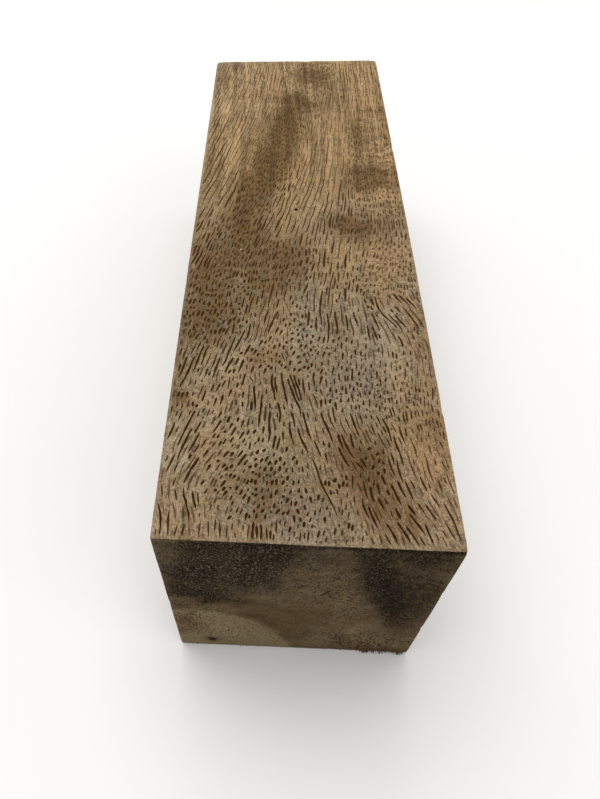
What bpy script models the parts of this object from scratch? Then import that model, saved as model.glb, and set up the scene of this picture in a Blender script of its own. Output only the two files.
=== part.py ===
"""Stabilized mango wood block: one rough-sawn, resin-stabilized turning blank.

A single grown piece of wood, sawn to a near-square stick. Its grain runs along
Y, it lies on one long face, and the origin is the centre of its box at the
bottom. +X is to the right when the end at -Y is looked at, +Z is up. Metres.
"""
import math

import bmesh
import bpy

# ---------------------------------------------------------------- dimensions
WIDTH = 0.0386            # X, across the top face
HEIGHT = 0.0405           # Z, bottom face to top face
LENGTH = 0.1265           # Y, along the middle of the block
NEAR_SKEW = math.radians(1.8)   # near end out of square, right side longer
FAR_SKEW = math.radians(5.5)    # far end out of square, right side longer
EDGE = 0.00035            # eased arris, about what a light sanding leaves
EDGE_SEGMENTS = 3
SAW_DRIFT = 0.00011       # how far a long face wanders from flat
STATIONS = 24             # slices along the length
ACROSS = 4                # strips across each long face

WOOD_COLOUR = (0.30, 0.205, 0.115, 1.0)
WOOD_ROUGHNESS = 0.62

# the box around the two skewed ends, and its middle
Y_LOW = -0.5 * WIDTH * math.tan(NEAR_SKEW)
Y_HIGH = LENGTH + 0.5 * WIDTH * math.tan(FAR_SKEW)
Y_MIDDLE = 0.5 * (Y_LOW + Y_HIGH)


def clear_scene():
    for ob in list(bpy.data.objects):
        bpy.data.objects.remove(ob, do_unlink=True)


def wood_material():
    mat = bpy.data.materials.new("stabilized_mango_wood")
    mat.use_nodes = True
    shader = mat.node_tree.nodes["Principled BSDF"]
    shader.inputs["Base Color"].default_value = WOOD_COLOUR
    shader.inputs["Roughness"].default_value = WOOD_ROUGHNESS
    shader.inputs["Metallic"].default_value = 0.0
    return mat


def near_plane(x):
    """Y of the near end's cut at x: the right side reaches further out."""
    return -x * math.tan(NEAR_SKEW)


def far_plane(x):
    return LENGTH + x * math.tan(FAR_SKEW)


def drift(x, t, z):
    """Small wander of the saw on the two sides and the top, none below.

    t runs from 0 at the near end to 1 at the far end. The bottom face stays
    flat, so that the block rests on all of it.
    """
    side = x / (0.5 * WIDTH)
    up = z / HEIGHT
    right = math.sin(math.pi * t) * 0.9 + 0.25 * math.sin(5.1 * t + 0.4)
    left = 0.45 * math.sin(4.0 * t + 1.1) - 0.2
    top = 0.5 * math.sin(3.3 * t + 0.6) * (0.6 + 0.4 * side)
    dx = SAW_DRIFT * (right * max(side, 0.0) - left * max(-side, 0.0)) * (0.4 + 0.6 * up)
    dz = SAW_DRIFT * top * up
    return dx, dz


def block_mesh():
    bm = bmesh.new()
    # the outline of one slice, counter-clockwise seen from the near end
    outline = []
    for i in range(ACROSS):
        outline.append((-0.5 + i / ACROSS, 0.0))
    for i in range(ACROSS):
        outline.append((0.5, i / ACROSS))
    for i in range(ACROSS):
        outline.append((0.5 - i / ACROSS, 1.0))
    for i in range(ACROSS):
        outline.append((-0.5, 1.0 - i / ACROSS))

    rings = []
    for s in range(STATIONS + 1):
        t = s / STATIONS
        ring = []
        for u, v in outline:
            x, z = u * WIDTH, v * HEIGHT
            y = near_plane(x) + t * (far_plane(x) - near_plane(x)) - Y_MIDDLE
            dx, dz = drift(x, t, z)
            ring.append(bm.verts.new((x + dx, y, z + dz)))
        rings.append(ring)
    n = len(outline)
    for s in range(STATIONS):
        a, b = rings[s], rings[s + 1]
        for i in range(n):
            j = (i + 1) % n
            bm.faces.new((a[i], a[j], b[j], b[i]))
    bm.faces.new(list(reversed(rings[0])))
    bm.faces.new(rings[-1])
    bmesh.ops.recalc_face_normals(bm, faces=bm.faces)
    mesh = bpy.data.meshes.new("mango_wood_block")
    bm.to_mesh(mesh)
    bm.free()
    return mesh


def build():
    clear_scene()
    mesh = block_mesh()
    block = bpy.data.objects.new("mango_wood_block", mesh)
    bpy.context.scene.collection.objects.link(block)
    mesh.materials.append(wood_material())

    # every arris is eased by the same small amount
    ease = block.modifiers.new("eased_arrises", "BEVEL")
    ease.width = EDGE
    ease.segments = EDGE_SEGMENTS
    ease.limit_method = "ANGLE"
    ease.angle_limit = math.radians(40)
    ease.use_clamp_overlap = True
    return block


build()
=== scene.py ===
"""Looks of the stabilized mango wood block: surface, grain, floor, light, camera.

Lengths are in millimetres while the surface is laid out and become metres when
the mesh is made. Block space: x across the top face (-W/2..W/2), y along the
grain from the near end (0..L), z up from the bottom face (0..H).
"""
import math

import bpy
import numpy as np
from mathutils import Matrix, Vector
from mathutils.geometry import delaunay_2d_cdt


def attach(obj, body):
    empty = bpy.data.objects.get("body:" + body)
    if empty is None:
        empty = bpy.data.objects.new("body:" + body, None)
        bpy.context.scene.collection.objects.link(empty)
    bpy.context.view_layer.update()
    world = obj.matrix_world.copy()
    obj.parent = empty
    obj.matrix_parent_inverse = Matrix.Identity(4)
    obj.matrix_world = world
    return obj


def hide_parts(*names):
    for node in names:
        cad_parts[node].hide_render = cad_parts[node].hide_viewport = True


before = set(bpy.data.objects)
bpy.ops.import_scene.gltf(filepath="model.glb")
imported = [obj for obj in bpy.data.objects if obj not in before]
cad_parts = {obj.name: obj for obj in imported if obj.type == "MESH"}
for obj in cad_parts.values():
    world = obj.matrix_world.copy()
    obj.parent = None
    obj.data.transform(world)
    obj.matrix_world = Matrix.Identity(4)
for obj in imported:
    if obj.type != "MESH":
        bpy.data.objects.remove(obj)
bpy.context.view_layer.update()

# ------------------------------------------------------------- block as sawn
W, H, L = 38.6, 40.5, 126.5
TAN_NEAR = math.tan(math.radians(1.8))
TAN_FAR = math.tan(math.radians(5.5))
Y_MID = 0.5 * (-0.5 * W * TAN_NEAR + L + 0.5 * W * TAN_FAR)
SAW_DRIFT = 0.11
PITH = (-17.8, -0.8)          # where the growth rings are centred, x and z


# ------------------------------------------------------------------- numbers
def lattice(ix, iy, iz, seed):
    """A repeatable number from 0 to 1 for each lattice point."""
    m = np.uint64(0xFFFFFFFF)
    n = (ix.astype(np.int64).astype(np.uint64) * np.uint64(73856093)) & m
    n ^= (iy.astype(np.int64).astype(np.uint64) * np.uint64(19349663)) & m
    n ^= (iz.astype(np.int64).astype(np.uint64) * np.uint64(83492791)) & m
    n ^= np.uint64((seed * 2654435761) & 0xFFFFFFFF)
    n = ((n ^ (n >> np.uint64(13))) * np.uint64(1274126177)) & m
    n = ((n ^ (n >> np.uint64(16))) * np.uint64(2246822519)) & m
    n ^= n >> np.uint64(15)
    return n.astype(float) / 4294967295.0


def noise(x, y, z, seed):
    """Smooth value noise from -1 to 1, with a lattice spacing of 1."""
    x, y, z = np.broadcast_arrays(np.asarray(x, float), np.asarray(y, float), np.asarray(z, float))
    ix, iy, iz = np.floor(x), np.floor(y), np.floor(z)
    fx, fy, fz = x - ix, y - iy, z - iz
    fx, fy, fz = (f * f * (3 - 2 * f) for f in (fx, fy, fz))
    out = 0.0
    for dx in (0, 1):
        for dy in (0, 1):
            for dz in (0, 1):
                w = (fx if dx else 1 - fx) * (fy if dy else 1 - fy) * (fz if dz else 1 - fz)
                out = out + w * lattice(ix + dx, iy + dy, iz + dz, seed)
    return 2 * out - 1


def cloud(x, y, z, seed, octaves=3):
    total, size, norm = 0.0, 1.0, 0.0
    for k in range(octaves):
        total = total + size * noise(x * 2 ** k, y * 2 ** k, z * 2 ** k, seed + 17 * k)
        norm += size
        size *= 0.5
    return total / norm


def step(low, high, v):
    t = np.clip((v - low) / (high - low), 0, 1)
    return t * t * (3 - 2 * t)


# ------------------------------------------------- how the top's grain runs
# One line per band across the face: distance from the near end, then
# (distance from the left edge, lean from the length in degrees, to the right
# as it goes away, and how long a cut vessel is there). Short where the fibres
# dive through the face, long where they lie in it.
GRAIN = (
    (1.5, ((1, -10, 4), (5, -8, 3), (9, 0, 2), (13, 2, 3), (19, 8, .8), (24, -5, 1.6), (29, -16, 3), (34, -24, 2.4), (38, -15, 3))),
    (6, ((1, -18, 4), (5, -12, 2.2), (9, 24, .8), (14, 10, .7), (18, -3, .8), (22, -14, 3), (27, -10, 3), (31, -13, 3), (36, -17, 3))),
    (10, ((1, 10, 3), (5, 30, 1.9), (9, 20, .8), (13, 8, .8), (17, -2, .9), (20, -15, 5), (23, -6, 1), (27, -24, 3), (32, -14, 3), (37, -10, 3))),
    (14, ((1, 10, 4), (4, 20, 3), (8, 35, 1.1), (11, 24, .9), (14, 5, 1.0), (18, -12, 6), (22, -13, 4), (26, -24, 3.5), (30, -14, 2.4), (35, -10, 2.4))),
    (18, ((1, 9, 5), (4, 18, 3), (7, 24, 1.5), (10, 12, 1.2), (13, -2, 4), (17, -11, 7), (22, -15, 5), (26, -16, 3), (31, -9, 1.4), (36, 0, .8))),
    (22, ((1, 2, 1), (4, 10, 3), (7, 10, 1.6), (10, 3, 2), (13, -2, 6), (17, -10, 7), (21, -10, 4), (25, -8, 1.3), (29, -4, .9), (33, 0, .9), (37, 0, 1.1))),
    (26, ((1, 8, 4), (4, 8, 3), (8, 10, 1.6), (11, -8, 2), (14, -4, 5), (18, -8, 4), (22, -3, 1.1), (27, 0, .9), (32, 4, 1.0), (37, 0, 2))),
    (30, ((1, 8, 6), (4, 9, 5), (7, 17, 2.6), (10, 10, 1.4), (13, 6, .9), (16, -16, .8), (19, -8, .9), (23, 6, .9), (27, 4, 1.2), (31, 6, 1.2), (36, 1, 2.4))),
    (34, ((1, 6, .9), (4, 14, .9), (8, 22, 1.8), (11, 18, 3), (14, 12, 4), (17, 0, .9), (21, -3, 1), (25, 0, 1.5), (30, -3, 2.4), (35, -14, 3))),
    (38, ((1, 8, .8), (4, 8, .8), (8, 12, 1), (11, 12, 3), (15, 10, 5), (18, -5, 1.1), (22, 0, 4.5), (26, -4, 5), (30, -11, 5), (34, -24, 5), (37, -20, 5))),
    (42, ((1, 8, .8), (4, 8, .8), (8, 8, 1.1), (12, 11, 5), (16, 8, 5), (18, -22, 1.2), (20, 4, 3), (23, 6, 6), (27, -3, 5), (31, -17, 4), (36, -28, 4))),
    (46, ((1, 6, .8), (5, 5, .8), (9, 2, .8), (12, 4, 1.2), (16, 7, 4), (20, 5, 4), (24, 6, 7), (28, 8, 1.2), (31, 8, .7), (34, 0, .8), (37, -6, .9))),
    (50, ((1, 14, 3.5), (4, 8, 1.5), (8, 8, 1.3), (12, 7, 1.1), (17, 8, 1.0), (20, 13, 1.4), (24, 7, 7), (27, 9, 3), (30, 14, .8), (33, 12, .6), (37, 6, .6))),
    (54, ((1, 15, 4), (5, 13, 1.8), (9, 14, 1.6), (12, 11, 1.8), (15, 9, 1.1), (19, 5, .9), (23, 6, 4), (27, 9, 4), (30, 16, 1.2), (33, 15, .7), (37, 10, .7))),
    (58, ((1, 15, 2), (5, 15, 1.6), (9, 15, 1), (12, 15, 3.4), (16, 12, 2.6), (20, 6, 3), (24, 6, 3.4), (28, 12, 2), (33, 12, 1.2), (37, 6, 1))),
    (63, ((2, 14, 1.8), (6, 15, 1.1), (9, 16, .9), (13, 18, 4), (17, 13, 5), (21, 10, 5), (25, 8, 1.8), (29, 6, .8), (34, 3, 2.2), (37, 3, 2.4))),
    (69, ((2, 13, 6), (5, 12, 4), (9, 15, .8), (12, 16, .9), (15, 17, 3.4), (19, 13, 5), (23, 13, 6), (27, 7, 3), (31, 4, .9), (36, 1, .8))),
    (75, ((2, 14, 7), (6, 13, 4), (10, 14, .8), (14, 15, .7), (17, 13, 1.4), (20, 11, 6), (25, 9, 6), (29, 7, 1.2), (34, 5, .8), (38, 3, .8))),
    (82, ((2, 14, 7), (6, 14, 6), (9, 14, 1.8), (13, 15, .7), (16, 13, .8), (19, 9, 3), (23, 8, 6), (27, 6, 6), (31, 5, .9), (36, 3, .9))),
    (89, ((2, 12, 7), (7, 12, 6), (11, 12, 1.1), (15, 11, .7), (19, 10, .9), (22, 8, 4.5), (26, 6, 7), (30, 4, 1.2), (34, 3, 1.1), (37, 0, 1.4))),
    (96, ((2, 12, 6), (7, 11, 6), (12, 9, 2.5), (16, 8, .8), (19, 8, 1), (23, 7, 4), (27, 5, 6), (31, 4, 1), (36, 4, 2))),
    (105, ((2, 12, 4), (6, 10, 5), (11, 8, 4), (15, 7, 1.8), (19, 5, 1), (23, 3, 1.5), (27, 5, 3), (31, 5, 3), (36, 3, 1.6))),
    (114, ((2, 10, 2.4), (6, 10, 4), (11, 8, 3.4), (15, 6, 3.4), (19, 4, 1.4), (23, 3, 1.1), (27, 1, 2.4), (32, 2, 4), (37, 2, 3))),
    (123, ((3, 5, 3), (8, 5, 3), (13, 4, 3), (18, 4, 1.4), (22, 3, 1.6), (26, 3, 1.1), (31, 2, 4), (36, 1, 3.4))),
)

# Patches of colour in the top face: distance from the left edge, from the near
# end, half-width, half-length, lean in degrees, and strength.
DARK = (
    (9, 66, 3.2, 6.5, 14, .75), (12.5, 77, 3.6, 8, 14, .85), (14.5, 87, 3.2, 8, 10, .95), (16.5, 98, 2.8, 7, 8, 1.0),
    (19, 106.5, 4.4, 3.4, -30, .95), (22.5, 119, 4.6, 5.6, 0, .8), (26.5, 110, 2.4, 6, 0, .45), (18, 101, 2.6, 4, 8, .4),
    (31.5, 92, 2.2, 7.5, 3, .55), (33.5, 79.5, 5.4, 2.6, 0, .8), (33.5, 75.2, 5.0, 1.7, 0, .7), (28.5, 62, 4.6, 3.6, 0, .85),
    (32, 97, 2.6, 2.2, 0, .35), (34.5, 104, 3.6, 1.7, 0, .4), (37.6, 101, 1.2, 6, 0, .3),
    (3.5, 50, 4.4, 7, 8, .8), (4.5, 38.5, 5.2, 6, 8, .8), (9.6, 59.5, 3, 3, 10, .7), (16, 52, 4.6, 6, 8, .8), (9.5, 54, 3.4, 5, 8, .6), (12, 46, 4, 3, 8, .4),
    (28.4, 12.6, 2.2, 3.4, 0, 1.0), (25.8, 11, 2.0, 5, -20, .8), (30, 4.5, 4.6, 4.5, -15, .5), (36.5, 18, 2.2, 2.6, 0, .4),
    (1.3, 23, 1.1, 1.1, 0, .8), (4.5, 44, 1.6, .9, 10, .5), (14, 7, 5.5, 5, 0, .5), (12.5, 29, 2.4, 2, 0, .35),
    (2.2, 116, 2.2, 4, 0, .45), (21, 92, 3, 3, 0, .25), (9.5, 92, 1.2, 9, 10, .3), (1.2, 66, 1.2, 5, 10, .4),
    (8.3, 75, 1.6, 3, 14, .35), (34, 66, 4.5, 4, 0, .2), (18.5, 30, 3, 2, 0, .25), (1, 32, 1.4, 6, 0, .35), (18, 20.5, 4.4, 5.4, 0, .3),
)
GOLD = (
    (4, 87, 3.4, 11, 12, .8), (20.5, 79, 2.8, 12, 9, .6), (27.3, 90, 1.5, 12, 4, 1.0), (26.2, 55.2, 2.2, 4, 5, 1.0), (23.5, 50, 3, 7, 5, .3), (33, 53, 5, 6.5, 0, .55),
    (15.5, 62.5, 1.6, 4.5, 15, .7), (15, 38.5, 2, 7, 10, .5), (33, 119, 5.6, 12, 0, 1.0), (34, 101, 3.6, 4, 0, .7), (36.3, 88, 1.9, 4.6, 0, .75),
    (34.5, 71.6, 3.6, 1.0, 0, .9), (33.2, 26.5, 1.8, 4, 0, .5), (10.5, 112, 5, 8, 0, .45), (13.2, 110.5, 2, 3.4, 0, .5),
    (4.5, 4, 4, 4, 0, .15), (23, 15, 2, 6, -12, .3), (34, 14, 2.6, 4.5, -10, .7), (7, 20, 4, 8, 8, .25),
    (29.5, 101, 2.6, 5, 3, .35), (21.5, 113.7, 3.4, .8, 0, .6), (24.5, 98, 2, 6, 6, .4), (5, 107, 2.4, 6, 10, .35),
)
GREY = (
    (26.5, 26, 5.4, 5.5, 0, .85), (21, 38.5, 2.6, 5.5, 5, .75), (16, 5, 4.6, 3.6, 0, .65), (18.8, 45, 1.8, 2.6, 0, .7),
    (35, 50, 3.6, 4, 0, .25), (36.3, 60, 2.4, 4.4, 0, .5), (30, 38, 4.6, 5, 0, .35), (3, 123, 4, 1.6, 8, .7),
    (.6, 100, .9, 22, 0, .4), (22, 3, 3, 3, 0, .5), (28.5, 68, 3, 3, 0, .4),
)
RUST = (
    (35.5, 11, 3.4, 5, -10, .85), (31, 4, 4.6, 4.6, -15, .7), (37, 19, 2.4, 4.6, 0, .8), (37.4, 32, 1.6, 7, 0, .6),
    (12.3, 29.4, 2.2, 2, 0, .6), (33.5, 108, 4.6, 12, 0, .4), (36, 78, 4, 5, 0, .4), (34.5, 53, 4.5, 8, 0, .7), (25, 9, 2.4, 5, -20, .4),
    (9, 1.5, 7, 2, 0, .35), (2, 50, 3, 7, 0, .3), (14, 112, 4, 4, 0, .35),
)
# How the vessels vary over the top: centre, half-width and half-length as above,
# then how much wider apart, bigger and darker they are there.
VESSELS = (
    (2.5, 3, 3.2, 4, .45, .0, .1), (7, 2.6, 2.2, 3, .55, -.2, -.2), (10, 7.6, 2.3, 2, -.2, .3, .3), (14, 6, 4, 3.2, -.1, .1, .1),
    (13.6, 1.4, 1.9, 1.6, -.25, .1, .35), (20, 3, 4.4, 3, .0, -.15, -.15), (20, 12, 2.4, 5, .5, -.1, -.1), (23, 9, 1.2, .8, -.4, .5, .5),
    (28.5, 5, 3.5, 5.5, -.1, .1, .2), (28.4, 12, 2, 3, -.3, .2, .4), (35, 13, 3, 5, .25, -.2, -.25), (36, 4, 2.5, 4, .1, -.1, -.1),
    (3, 14, 3, 5, .1, .1, .3), (8.6, 13.6, 2.8, 3.4, .1, .3, .3), (13, 12, 2.4, 3, -.2, .3, .4), (8.6, 18.5, 2.6, 2.4, .3, .3, .3),
    (16, 21, 4, 5.5, .0, .15, .4), (21.6, 17, 1.6, 5, .35, .0, .1), (29, 22, 5, 3, -.2, -.2, -.15), (36, 21, 2.5, 3.5, -.1, -.25, -.3),
    (28, 29, 5.5, 3.5, .4, -.1, -.15), (16, 31, 3.5, 3.5, -.1, .0, .15), (3.5, 27, 3.5, 5, .15, -.1, .1), (9, 25, 3, 4, .25, .0, .0),
    (35.6, 30, 2.5, 6, .35, -.15, -.25), (19, 35, 1.8, 3.6, -.35, .1, .35), (25, 36, 2.4, 2.4, .1, .2, .2), (30, 35, 4, 3.4, .6, .0, .0),
    (14.5, 38, 2.4, 7, .1, -.2, -.25), (4, 39, 4.5, 5.5, -.2, .0, .1), (24, 43, 3, 6, .15, .1, .2), (32, 41, 4.5, 4, .0, .2, .25),
    (33, 48, 4.5, 4, -.35, -.2, -.45), (35, 55, 4.5, 5, .1, -.25, -.6), (26.3, 55.8, 1.9, 3, .9, -.2, -.5), (22.4, 54, 2, 4.5, .1, -.15, -.3), (19, 46, 1.6, 3, .6, .0, .0), (4, 51, 4.5, 6, .0, -.1, .0),
    (15, 52, 4.5, 6, -.1, .0, .1), (9, 61, 3, 3.5, -.2, .1, .2), (15.5, 62.5, 1.5, 4.5, .4, -.1, -.2), (28, 62, 4, 4, .0, -.1, -.1),
    (10, 69, 2.8, 5, -.3, -.1, .4), (13.5, 79, 3, 7, -.3, -.05, .5), (16, 93, 2.8, 8, -.3, -.1, .5), (4, 86, 3.2, 14, .3, -.1, -.1),
    (27.4, 90, 1.5, 12, .8, -.2, -.2), (21, 78, 2.6, 9, .35, -.1, -.1), (33, 79, 5, 5, .1, -.2, -.3), (33, 68, 5, 5, -.1, -.1, -.1),
    (32, 92, 3, 7, .0, -.2, -.2), (33, 113, 5, 10, .3, -.1, -.2), (21, 117, 4, 7, .1, -.2, -.3), (8, 108, 5, 10, .1, -.1, -.1),
)
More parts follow.
